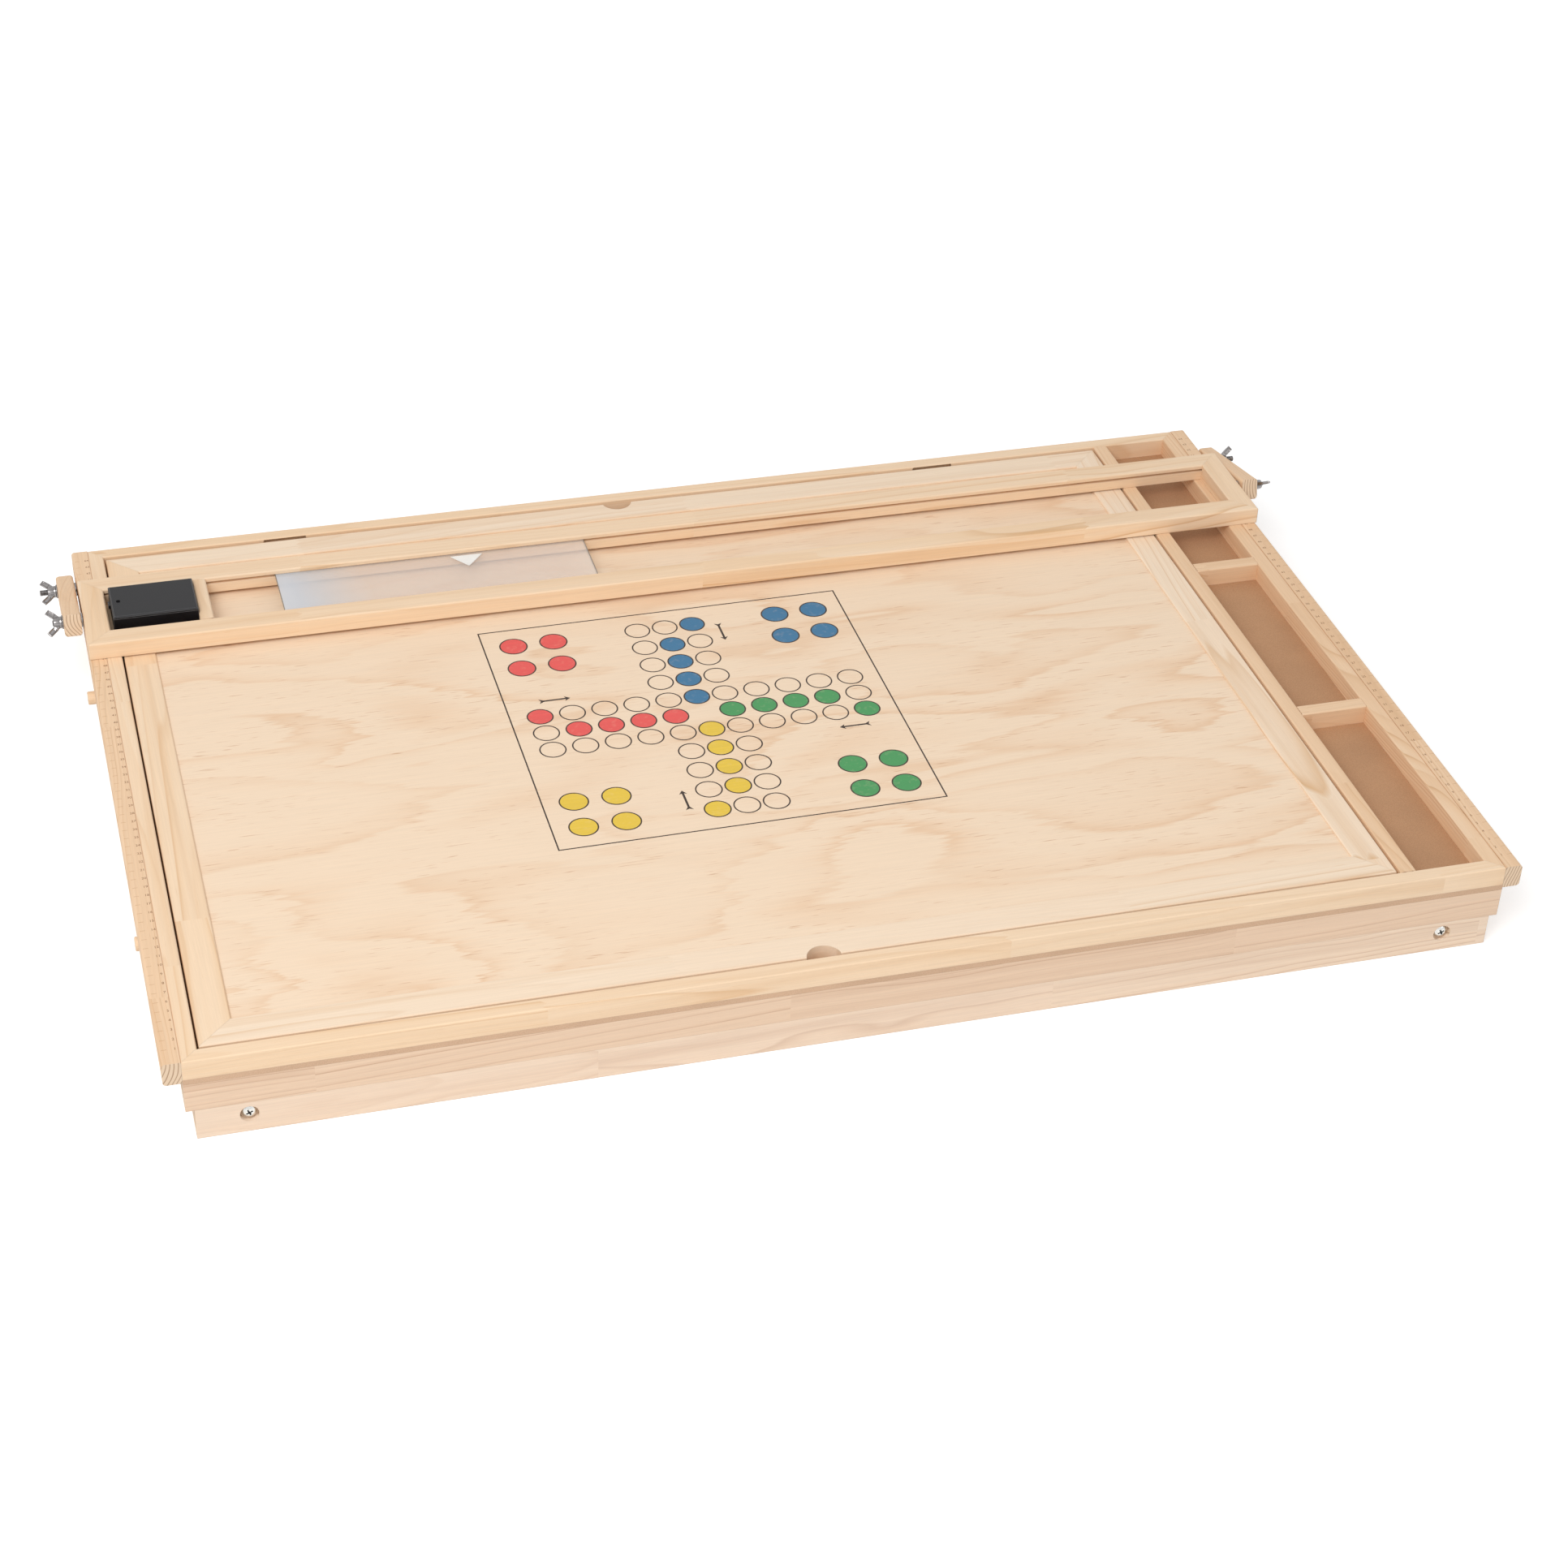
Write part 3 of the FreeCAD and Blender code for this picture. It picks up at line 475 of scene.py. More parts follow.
def acrylic(name):
    """Hazy magnifier sheet with fine moulded grooves along X, with a painted reflection of a bright
    surround that grows towards its left end.
    """
    shader = new_material(name)
    place = shader.place()
    wave = shader.node("TexWave", {"Vector": place, "Scale": GROOVE_SCALE}, bands_direction="Y")
    haze = shader.noise(place, HAZE_WAVES)
    left, right = (corner.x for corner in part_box("lens"))
    x = shader.split(place)[0]
    inwards = shader.math("SUBTRACT", x, left)
    # The veil is partly the sheet's own haze and partly a painted reflection, bluer and denser towards the
    # left end.
    haze_and_reflection = shader.math("MULTIPLY_ADD", haze, MILK_HAZE, shader.math("MULTIPLY", inwards, 1 / REFLECTION_END))
    tint = shader.ramp(haze_and_reflection, [(0.35, REFLECTED_TINT), (1.0, CLEAR_TINT)])
    veil = shader.ramp(haze_and_reflection, [(0.30, REFLECTED_VEIL), (1.0, CLEAR_VEIL)])
    # Painted shade: the sheet's upright edges, and a thin band at its left and right ends, are painted
    # dark and nearly opaque.
    edge_tone = shader.ramp(shader.squarely(Z_AXIS), [(0.4, 1.0), (0.6, 0.0)])
    rim = shader.math("MINIMUM", inwards, shader.math("SUBTRACT", right, x))
    edge_tone = shader.math("MAXIMUM", edge_tone, shader.math("LESS_THAN", rim, LENS_RIM))
    return shader.finish(
        Base_Color=shader.mix(edge_tone, tint, EDGE_SHADE_ACRYLIC),
        Roughness=shader.span(haze, 0.10, 0.22),
        Normal=shader.bump(wave.outputs["Fac"], GROOVE_RELIEF, 0.25),
        Alpha=shader.mix(shader.math("MULTIPLY", edge_tone, EDGE_SHADE_COVER), veil, WHITE),
        IOR=ACRYLIC_IOR,
    )


COVER_SCALE = 240.0
INK_RELIEF = 0.05 * MM


def ink(name, colour):
    """Screen ink that lets a little of the veneer's fibre through."""
    shader = new_material(name)
    place = shader.place()
    fibre = shader.noise(place, VENEER_WAVES, 3.0, 0.65)
    cover = shader.noise(place, COVER_SCALE)
    tint = shader.shade(colour, fibre, [(0.3, 0.94), (0.7, 1.04)])
    tint = shader.mix(shader.ramp(cover, [(0.55, 0.0), (0.8, 0.12)]), tint, PLY_LIGHT)
    return shader.finish(
        Base_Color=tint,
        Roughness=shader.span(fibre, 0.42, 0.6),
        Normal=shader.bump(fibre, INK_RELIEF, 0.4),
    )


# The pressed steel's dark rims are painted shade.
steel = metal("zinc_steel", srgb(158, 154, 153), 0.14, SHADED_RIM_METAL, 0.9)
bright_steel = metal("bright_zinc", srgb(226, 226, 222), 0.16, HIGHLIGHT_RIM_METAL, 0.4)
blackened = moulded("blackened_steel", srgb(6, 6, 7), srgb(12, 12, 13), 0.5, srgb(24, 24, 26), 0.05)
# The black moulding's pale rims are a painted highlight along the lid's edges.
black_plastic = moulded("black_moulding", srgb(12, 11, 14), srgb(20, 19, 23), 0.34, srgb(196, 196, 198))
BY_SLOT = {
    "plywood": plywood("rotary_plywood"),
    "fibreboard": fibreboard("raw_fibreboard"),
    "steel": steel,
    "contact": metal("nickel_strip", srgb(214, 210, 200), 0.22, HIGHLIGHT_RIM_METAL, 0.4),
    "black_plastic": black_plastic,
    "cell_can": moulded("cell_wrap", srgb(60, 62, 66), srgb(82, 84, 88), 0.3, srgb(120, 121, 124)),
    "acrylic": acrylic("magnifier_acrylic"),
}
pine_materials = {}
for tone in PINES:
    for axis, letter in enumerate("xyz"):
        pine_materials[tone, axis] = pine(f"pine_{tone}_{letter}", axis, tone)

# Groups of short sticks whose own grain doesn't run along the group's longest side.
GRAIN_ALONG_X = ("left_legs", "right_legs", "tray_partitions")
# Pieces that aren't in the honey tone, by the start of their names.
TONE_STARTS = {
    "pale": ("board_front_strip", "board_back_strip", "board_right_strip"),
    "rosy": ("base_", "left_leg", "right_leg", "front_drawer", "back_drawer"),
    "tawny": ("mid_",),
    "amber": ("tray_", "left_slide", "right_slide", "right_rail", "left_arm", "right_arm"),
}


def tone_of(name):
    """The tone of a piece of pine, by the start of its name."""
    for tone, starts in TONE_STARTS.items():
        if name.startswith(starts):
            return tone
    return "honey"


def dress(name, slot):
    """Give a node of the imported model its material."""
    node = frame["nodes"][name]
    low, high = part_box(name)
    node["core"] = list((low + high) / 2)
    if slot == "pine":
        sides = list(high - low)
        along = 0 if name in GRAIN_ALONG_X else sides.index(max(sides))
        finish = pine_materials[tone_of(name), along]
    else:
        finish = BY_SLOT[slot]
    node.data.materials.clear()
    node.data.materials.append(finish)


for part in frame["record"]["subparts"]:
    dress(part["node"], part["material_slot"])


# Mesh building
ROUND_SIDES = 48


def piece(name, mesh, material, body, stands_for=()):
    """A new piece of the object that rides on a body, in place of the nodes it stands for."""
    made = bpy.data.objects.new(name, mesh)
    bpy.context.scene.collection.objects.link(made)
    mesh.materials.clear()
    mesh.materials.append(material)
    corners = [Vector(corner) for corner in made.bound_box]
    made["core"] = list(sum(corners, Vector()) / len(corners))
    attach(made, body)
    if stands_for:
        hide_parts(*stands_for)


def to_mesh(name, bm, crease=None):
    """A mesh with its faces outwards; with a crease angle, flatter edges are shaded smooth."""
    bmesh.ops.recalc_face_normals(bm, faces=bm.faces)
    mesh = bpy.data.meshes.new(name)
    bm.to_mesh(mesh)
    bm.free()
    if crease:
        mesh.shade_smooth()
        mesh.set_sharp_from_angle(angle=math.radians(crease))
    return mesh


def join(bm, loops, closed=False):
    """Faces between loops of vertices, in which a loop of one vertex is a tip."""
    pairs = list(zip(loops, loops[1:] + loops[:1]))
    for one, other in pairs if closed else pairs[:-1]:
        count = max(len(one), len(other))
        for number in range(count):
            after = (number + 1) % count
            corners = [one[number % len(one)], one[after % len(one)]]
            corners += [other[after % len(other)], other[number % len(other)]]
            bm.faces.new(list(dict.fromkeys(corners)))


def turned(bm, profile, place, closed=False, shape=None, count=ROUND_SIDES):
    """Turn (radius, height) points about the local Z axis; shape may move each point first."""
    loops = []
    for radius, height in profile:
        loop = []
        for number in range(count if radius else 1):
            angle = 2 * math.pi * number / count
            point = Vector((radius * math.cos(angle), radius * math.sin(angle), height))
            if shape:
                point = shape(point, angle)
            loop.append(bm.verts.new(place @ point))
        loops.append(loop)
    join(bm, loops, closed)


def facing(x, y, z, axis, degrees):
    """A place whose local Z axis is turned about a world axis."""
    return Matrix.Translation((x, y, z)) @ Matrix.Rotation(math.radians(degrees), 4, axis)


def prism(bm, outline, low, high):
    """A closed flat prism over an outline in the XY plane."""
    bottom = [bm.verts.new((x, y, low)) for x, y in outline]
    top = [bm.verts.new((x, y, high)) for x, y in outline]
    bm.faces.new(list(reversed(bottom)))
    bm.faces.new(top)
    for number in range(len(outline)):
        after = (number + 1) % len(outline)
        bm.faces.new((bottom[number], bottom[after], top[after], top[number]))


def circle(centre, radius):
    """Points around a centre in the XY plane."""
    points = []
    for number in range(ROUND_SIDES):
        angle = 2 * math.pi * number / ROUND_SIDES
        points.append((centre[0] + radius * math.cos(angle), centre[1] + radius * math.sin(angle)))
    return points


def band(bm, outer, inner, low, high):
    """A closed flat band between two outlines of equal length."""
    loops = []
    for outline, level in ((outer, low), (outer, high), (inner, high), (inner, low)):
        loops.append([bm.verts.new((x, y, level)) for x, y in outline])
    join(bm, loops, closed=True)


def in_metres(points):
    """Turn (radius, height) points in millimetres into metres."""
    return [(radius * MM, height * MM) for radius, height in points]


# Printed race game
INKS = {
    "red": srgb(232, 87, 82),
    "blue": srgb(54, 115, 154),
    "green": srgb(68, 150, 86),
    "yellow": srgb(232, 196, 64),
}
LINE_INK = srgb(46, 27, 12)
GAME_CENTRE = (-38.5 * MM, -5.9 * MM)
GAME_TURN = 0.006
LANE_FIELDS = 5
FIELD_STEP = 25.4 * MM
LANE_OFFSET = 22.6 * MM
HOME_PLACES = (91.4 * MM, 123.7 * MM)
FIELD_RADIUS = 10.4 * MM
HOME_RADIUS = 11.3 * MM
BORDER_HALF = 147.5 * MM
LINE_WIDTH = 1.1 * MM
INK_FILM = 0.06 * MM
INK_SUNK = 0.02 * MM
ARROW_SIDE = 42.8 * MM
ARROW_FROM = 120.6 * MM
ARROW_TO = 96.0 * MM
ARROW_SHAFT = 1.7 * MM
ARROW_HALF = 3.1 * MM
ARROW_HEAD = 3.6 * MM
ARROW_NOTCH = 1.4 * MM

board_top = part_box("board_panel")[1].z
ink_low = board_top - INK_SUNK
ink_high = board_top + INK_FILM


def quarter_turn(point, times):
    """Turn a point clockwise about the middle of the game."""
    for step in range(times):
        point = (point[1], -point[0])
    return point


def on_board(point):
    """Turn a place in the game's own square into a place on the board."""
    cosine, sine = math.cos(GAME_TURN), math.sin(GAME_TURN)
    x = GAME_CENTRE[0] + point[0] * cosine - point[1] * sine
    y = GAME_CENTRE[1] + point[0] * sine + point[1] * cosine
    return x, y


def field(lines, fill, centre, radius):
    """An outlined field, filled where it has a colour."""
    place = on_board(centre)
    inside = radius - LINE_WIDTH
    band(lines, circle(place, radius), circle(place, inside), ink_low, ink_high)
    if fill:
        prism(fill, circle(place, inside), ink_low, ink_high)


def arrow():
    """The arrow with a swallow tail beside the back arm, which points to the middle."""
    thin = ARROW_SHAFT / 2
    neck = ARROW_TO + ARROW_HEAD
    feather = ARROW_FROM - ARROW_HEAD
    flank = [(ARROW_HALF, neck + thin), (thin, neck), (thin, feather), (ARROW_HALF, ARROW_FROM)]
    outline = [(0.0, ARROW_TO)] + flank + [(0.0, ARROW_FROM - ARROW_NOTCH)]
    outline += [(-x, y) for x, y in reversed(flank)]
    return [(ARROW_SIDE + x, y) for x, y in outline]


def printed_game():
    """The game's lines as one piece, and the fields of each colour as another."""
    lines = bmesh.new()
    fills = {colour: bmesh.new() for colour in INKS}
    steps = [LANE_OFFSET + number * FIELD_STEP for number in range(LANE_FIELDS)]
    # Turning clockwise from the arm at the back: blue, green, yellow, red.
    for turns, colour in enumerate(("blue", "green", "yellow", "red")):
        fields = [(LANE_OFFSET, step, None) for step in steps[:-1]]
        fields += [(-LANE_OFFSET, step, None) for step in steps[1:]]
        fields += [(LANE_OFFSET, steps[-1], colour), (0.0, steps[-1], None)]
        fields += [(0.0, step, colour) for step in steps[:-1]]
        for x, y, filling in fields:
            field(lines, fills.get(filling), quarter_turn((x, y), turns), FIELD_RADIUS)
        for x in HOME_PLACES:
            for y in HOME_PLACES:
                field(lines, fills[colour], quarter_turn((x, y), turns), HOME_RADIUS)
        prism(lines, [on_board(quarter_turn(point, turns)) for point in arrow()], ink_low, ink_high)
    loops = []
    for half in (BORDER_HALF + LINE_WIDTH / 2, BORDER_HALF - LINE_WIDTH / 2):
        loops.append([on_board((x * half, y * half)) for x, y in SQUARE])
    band(lines, *loops, ink_low, ink_high)
    piece("game_lines", to_mesh("game_lines", lines), ink("ink_lines", LINE_INK), "frame")
    for colour, filled in fills.items():
        name = f"game_fields_{colour}"
        piece(name, to_mesh(name, filled), ink(f"ink_{colour}", INKS[colour]), "frame")


printed_game()

# Ruler marks on the slide rails: faint scribed ticks and burnt numbers
MARK_PITCH = 10 * MM
MARK_MARGIN = 15 * MM
TICK_WIDTH = 0.3 * MM
TICK_LENGTH = 3.6 * MM
TICK_INSET = 1.8 * MM
NUMBER_INSETS = {"left": 11.0 * MM, "right": 9.6 * MM}
NUMBER_HEIGHT = 3.5 * MM
DIGIT_STEPS = 2
BURN_FILM = 0.03 * MM
scribed = ink("scribed_marks", srgb(200, 158, 114))
burnt = ink("burnt_marks", srgb(138, 92, 54))


def number_mesh(text):
    """A small upright number, flat and thin, centred on the origin."""
    curve = bpy.data.curves.new("number_" + text, "FONT")
    curve.body = text
    curve.size = NUMBER_HEIGHT
    curve.align_x = "CENTER"
    curve.align_y = "CENTER"
    curve.resolution_u = DIGIT_STEPS
    curve.extrude = BURN_FILM
    holder = bpy.data.objects.new("number_" + text, curve)
    mesh = bpy.data.meshes.new_from_object(holder)
    bpy.data.objects.remove(holder)
    bpy.data.curves.remove(curve)
    return mesh


def ruler(side, sign):
    """Ticks and numbers that count from the front along the outside of a slide rail."""
    low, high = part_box(side + "_slide_rail")
    outside = high.x if sign > 0 else low.x
    far = outside - sign * TICK_INSET
    near = far - sign * TICK_LENGTH
    left, right = min(near, far), max(near, far)
    half = TICK_WIDTH / 2
    ticks = bmesh.new()
    numbers = bmesh.new()
    count = int((high.y - low.y - 2 * MARK_MARGIN) / MARK_PITCH) + 1
    for number in range(count):
        y = low.y + MARK_MARGIN + number * MARK_PITCH
        tick = [(left, y - half), (right, y - half), (right, y + half), (left, y + half)]
        prism(ticks, tick, high.z - BURN_FILM, high.z + BURN_FILM)
        digits = number_mesh(str(number + 1))
        digits.transform(Matrix.Translation((outside - sign * NUMBER_INSETS[side], y, high.z)))
        numbers.from_mesh(digits)
        bpy.data.meshes.remove(digits)
    for name, marks, colour in (("ticks", ticks, scribed), ("numbers", numbers, burnt)):
        label = f"{side}_ruler_{name}"
        piece(label, to_mesh(label, marks), colour, "frame")


for side, sign in SIDES.items():
    ruler(side, sign)

# Wing nuts, washers and threaded ends
METAL_CREASE = 40
# Degrees by which the photograph shows each nut turned.
WING_TURNS = {
    ("left", "front"): 56,
    ("left", "back"): 66,
    ("right", "front"): 53,
    ("right", "back"): -15,
}
BOLT_RADIUS = 2.5 * MM
THREAD_PITCH = 0.8 * MM
THREAD_DEPTH = 0.42 * MM
THREAD_SPAN = 15 * MM
THREAD_ROWS = 6
THREAD_SIDES = 24
# Shares of a rod's radius: its tip, and what is thick enough to be cut into a thread.
ROD_TIP = 0.8
THREADED_FROM = 0.9
HUB = in_metres([
    (2.62, 0.05),
    (4.55, 0.05),
    (4.8, 0.3),
    (4.8, 1.7),
    (4.3, 2.3),
    (3.9, 5.9),
    (3.6, 6.5),
    (3.0, 6.6),
    (2.62, 6.2),
])
# The middle line of a wing in the nut's own frame, whose Z axis is the bolt's.
PADDLE_ROOT = Vector((2.9, 0.0, 2.4)) * MM
PADDLE_TIP = Vector((10.1, 0.0, 10.7)) * MM
PADDLE_STATIONS = (0.0, 0.12, 0.24, 0.34, 0.40, 0.48, 0.60, 0.72, 0.82, 0.88, 0.94, 0.98, 1.0)
PADDLE_ACROSS = (-1.0, -0.9, -0.74, -0.5, -0.2, 0.2, 0.5, 0.74, 0.9, 1.0)
PADDLE_HALF_WIDTH = 2.25 * MM
PADDLE_HALF_ROOT = 1.7 * MM
PADDLE_THICK_ROOT = 1.35 * MM
PADDLE_THICK_TIP = 0.95 * MM
# Shares of a wing's length at which its flare, hollow and thin tip begin or end.
FLARE_TO = 0.45
HOLLOW_FROM = 0.38
HOLLOW_TO = 0.9
TIP_FROM = 0.95
# Shares of its width and thickness.
HOLLOW_ACROSS = 0.7
RIM_THICKNESS = 0.55
TIP_THICKNESS = 0.9
END_THICKNESS = 0.6
HOLLOW_DEPTH = 0.55 * MM


def paddle(bm, place, sign):
    """One wing: a flat bar that flares from the hub, with a hollow pressed into both faces."""
    direction = (PADDLE_TIP - PADDLE_ROOT).normalized()
    across = Vector((-direction.z, 0.0, direction.x))
    loops = []
    for share in PADDLE_STATIONS:
        centre = PADDLE_ROOT.lerp(PADDLE_TIP, share)
        spread = min(1.0, share / FLARE_TO)
        half = PADDLE_HALF_ROOT + (PADDLE_HALF_WIDTH - PADDLE_HALF_ROOT) * spread
        thick = PADDLE_THICK_ROOT + (PADDLE_THICK_TIP - PADDLE_THICK_ROOT) * share
        if share > TIP_FROM:
            thick *= TIP_THICKNESS if share < 1 else END_THICKNESS
        sunk = HOLLOW_DEPTH if HOLLOW_FROM < share < HOLLOW_TO else 0.0
        profile = []
        for step in PADDLE_ACROSS:
            level = thick * (RIM_THICKNESS if abs(step) == 1 else 1.0)
            if abs(step) < HOLLOW_ACROSS:
                level -= sunk
            profile.append((step * half, level))
        loop = []
        for face, points in ((1, profile), (-1, reversed(profile))):
            for step, level in points:
                point = centre + across * step + Vector((0, face * level, 0))
                loop.append(bm.verts.new(place @ Vector((sign * point.x, point.y, point.z))))
        loops.append(loop)
    join(bm, loops)
    bm.faces.new(loops[0])
    bm.faces.new(loops[-1])


def wing_nut(side, end, sign):
    """A nut with two wings; returns the middle of the face that it is seated on."""
    name = f"{side}_{end}_wing_nut"
    low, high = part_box(name)
    seat = (low + high) / 2
    seat.x = low.x if sign > 0 else high.x
    place = facing(*seat, "Y", 90 * sign) @ Matrix.Rotation(math.radians(WING_TURNS[side, end]), 4, "Z")
    bm = bmesh.new()
    turned(bm, HUB, place, closed=True)
    for wing in (-1, 1):
        paddle(bm, place, wing)
    piece(name + "_pressed", to_mesh(name, bm, METAL_CREASE), steel, name, [name])
    return seat


def thread_shape(start):
    """Cut a screw thread into the points of a shank beyond a height."""
    def shape(point, angle):
        if point.z <= start or point.to_2d().length < THREADED_FROM * BOLT_RADIUS:
            return point
        share = (point.z / THREAD_PITCH - angle / (2 * math.pi)) % 1.0
        cut = THREAD_DEPTH * abs(2 * share - 1)
        rim = 1 - cut / BOLT_RADIUS
        return Vector((point.x * rim, point.y * rim, point.z))
    return shape


def threaded_rod(bm, place, foot, length):
    """A rod that ends in a thread; foot is the profile that it grows from."""
    thread_from = length - THREAD_SPAN
    rows = int((length - thread_from) / THREAD_PITCH * THREAD_ROWS)
    profile = foot + [(BOLT_RADIUS, thread_from)]
    for row in range(1, rows):
        profile.append((BOLT_RADIUS, thread_from + (length - thread_from) * row / rows))
    profile += [(BOLT_RADIUS * ROD_TIP, length), (0, length)]
    turned(bm, profile, place, shape=thread_shape(thread_from), count=THREAD_SIDES)


WASHER_RADIUS = 5.6 * MM
WASHER_HOLE = 2.8 * MM
WASHER_THICKNESS = 1.2 * MM
WASHER_EDGE = 0.25 * MM
SPACER_THICKNESS = 1.6 * MM
# Where spacers, bolts and studs begin and end, along X from the middle of the table.
SPACER_FROM = 490.2 * MM
BOLT_SEAT = 481.2 * MM
BOLT_END = 519.6 * MM
STUD_FROM = 476.0 * MM
STUD_END = 514.0 * MM
BOLT_HEAD = in_metres([
    (0, -3.6),
    (2.6, -3.5),
    (4.2, -3.0),
    (4.9, -2.0),
    (5.0, -1.0),
    (5.0, 0.0),
    (2.5, 0.0),
])
STUD_FOOT = in_metres([(0, 0.0), (2.2, 0.0), (2.5, 0.4)])


def washer(bm, place, thickness):
    """A washer with softened rims."""
    edge = WASHER_EDGE
    turned(bm, [
        (WASHER_HOLE, 0),
        (WASHER_RADIUS - edge, 0),
        (WASHER_RADIUS, edge),
        (WASHER_RADIUS, thickness - edge),
        (WASHER_RADIUS - edge, thickness),
        (WASHER_HOLE, thickness),
    ], place, closed=True)


def fasteners():
    """On each of the four bolt axes: a nut, two washers and a bolt or stud, all facing outwards."""
    black, plain, bolts, studs = (bmesh.new() for number in range(4))
    for side, sign in SIDES.items():
        for end in ("front", "back"):
            seat = wing_nut(side, end, sign)
            if end == "front":
                rods, foot, start, length = studs, STUD_FOOT, STUD_FROM, STUD_END - STUD_FROM
            else:
                rods, foot, start, length = bolts, BOLT_HEAD, BOLT_SEAT, BOLT_END - BOLT_SEAT
            starts = (abs(seat.x) - WASHER_THICKNESS, SPACER_FROM, start)
            outer, inner, rod = (facing(sign * x, seat.y, seat.z, "Y", 90 * sign) for x in starts)
            washer(black if side == "right" else plain, outer, WASHER_THICKNESS)
            washer(plain, inner, SPACER_THICKNESS)
            threaded_rod(rods, rod, foot, length)
    made = (
        ("plain_washers", plain, steel, "arms", ["arm_washers"]),
        ("black_washers", black, black_plastic, "arms", []),
        ("threaded_studs", studs, steel, "bridge", ["tilt_studs"]),
        ("domed_slot_bolts", bolts, steel, "carriage", ["slot_bolts"]),
    )
    for name, bm, finish, body, stands_for in made:
        piece(name, to_mesh(name, bm, METAL_CREASE), finish, body, stands_for)


fasteners()

# Cross-head screws
PAN_RADIUS = 5.0 * MM
PAN_HEIGHT = 3.4 * MM
PAN_RINGS = 26
PAN_SIDES = 64
PAN_CREASE = 35
CROWN_POWER = 2.4
SCREW_SHANK = 34.3 * MM
SCREW_CROWN = 0.5
SCREW_TURN = 24
LID_SHANK = 1.2 * MM
LID_CROWN = 0.3
LID_TURN = 30
# Shares of the head's radius, and of its height.
CROSS_HALF_WIDTH = 0.11
CROSS_HALF_LENGTH = 0.5
CROSS_SLOPE = 0.05
CROSS_DEPTH = 0.62
LEVEL_MARGIN = 1e-6


def pan_head(bm, place, radius, height, shank_radius, shank, crown):
    """A domed head with a cross recess, on its shank."""
    def sunk(point, angle):
        if point.z < height * (1 - crown) - LEVEL_MARGIN:
            return point
        x, y = abs(point.x) / radius, abs(point.y) / radius
        depth = 0.0
        for wide, long in ((x, y), (y, x)):
            flank = (CROSS_HALF_WIDTH - wide) / CROSS_SLOPE
            tip = (CROSS_HALF_LENGTH - long) / (2 * CROSS_SLOPE)
            depth = max(depth, min(1.0, max(0.0, min(flank, tip))))
        return Vector((point.x, point.y, point.z - depth * CROSS_DEPTH * height))

    profile = [(0, -shank), (shank_radius, -shank), (shank_radius, 0), (radius, 0)]
    for step in range(PAN_RINGS, 0, -1):
        share = step / PAN_RINGS
        profile.append((radius * share, height * (1 - crown * share ** CROWN_POWER)))
    profile.append((0, height))
    turned(bm, profile, place, shape=sunk, count=PAN_SIDES)


def screws():
    """The four leg pivots and the small screw in the battery box's lid."""
    low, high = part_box("leg_pivot_screws")
    pivots = bmesh.new()
    for x in (low.x + PAN_RADIUS, high.x - PAN_RADIUS):
        for side in (-1, 1):
            place = facing(x, side * (high.y - PAN_HEIGHT), (low.z + high.z) / 2, "X", -90 * side)
            place = place @ Matrix.Rotation(math.radians(SCREW_TURN), 4, "Z")
            pan_head(pivots, place, PAN_RADIUS, PAN_HEIGHT, BOLT_RADIUS, SCREW_SHANK, SCREW_CROWN)
    heads = to_mesh("pan_head_screws", pivots, PAN_CREASE)
    piece("pan_head_screws", heads, bright_steel, "frame", ["leg_pivot_screws"])
    low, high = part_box("lid_screw")
    middle = (low + high) / 2
    small = bmesh.new()
    place = facing(middle.x, middle.y, low.z, "Z", LID_TURN)
    radius = (high.x - low.x) / 2
    pan_head(small, place, radius, high.z - low.z, radius / 2, LID_SHANK, LID_CROWN)
    head = to_mesh("black_lid_screw", small, PAN_CREASE)
    piece("black_lid_screw", head, blackened, "bridge", ["lid_screw"])


screws()

# Turned knobs, ribbed switch and the lens's pointer
# The rounded end of a knob: shares of its radius, and millimetres past its length.
KNOB_END = [(1.0, -0.9), (0.985, -0.55), (0.93, -0.22), (0.84, 0.0)]
KNOB_CREASE = 50
# Shares of the switch's depth, and of the pitch of its ribs.
SWITCH_NOTCH = 0.45
SWITCH_RIBS = 4
RIB_FROM = 0.05
RIB_TO = 0.55
NOTCH_FROM = 0.65
NOTCH_TO = 0.95


def knobs():
    """Dowel knobs with rounded ends on the drawers."""
    for side in ("front", "back"):
        name = side + "_drawer_knob"
        low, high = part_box(name)
        middle = (low + high) / 2
        radius = (high.z - low.z) / 2
        length = high.x - low.x
        profile = [(0, 0), (radius, 0)]
        profile += [(radius * share, length + drop * MM) for share, drop in KNOB_END]
        profile.append((0, length))
        bm = bmesh.new()
        turned(bm, profile, facing(high.x, middle.y, middle.z, "Y", -90))
        wood = pine_materials["honey", 0]
        piece(f"turned_{side}_knob", to_mesh(name, bm, KNOB_CREASE), wood, side + "_drawer", [name])


def ribbed_switch():
    """The battery box's slide switch, with ribs for a finger."""
    low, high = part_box("battery_switch")
    pitch = (high.y - low.y) / SWITCH_RIBS
    notch = low.x + SWITCH_NOTCH * (high.x - low.x)
    outline = [(high.x, low.y)]
    for rib in range(SWITCH_RIBS):
        start = low.y + rib * pitch
        outline += [(low.x, start + RIB_FROM * pitch), (low.x, start + RIB_TO * pitch)]
        if rib < SWITCH_RIBS - 1:
            outline += [(notch, start + NOTCH_FROM * pitch), (notch, start + NOTCH_TO * pitch)]
    outline += [(low.x, high.y), (high.x, high.y)]
    bm = bmesh.new()
    prism(bm, outline, low.z, high.z)
    ribbed = to_mesh("ribbed_switch", bm)
    piece("ribbed_switch", ribbed, black_plastic, "switch", ["battery_switch"])


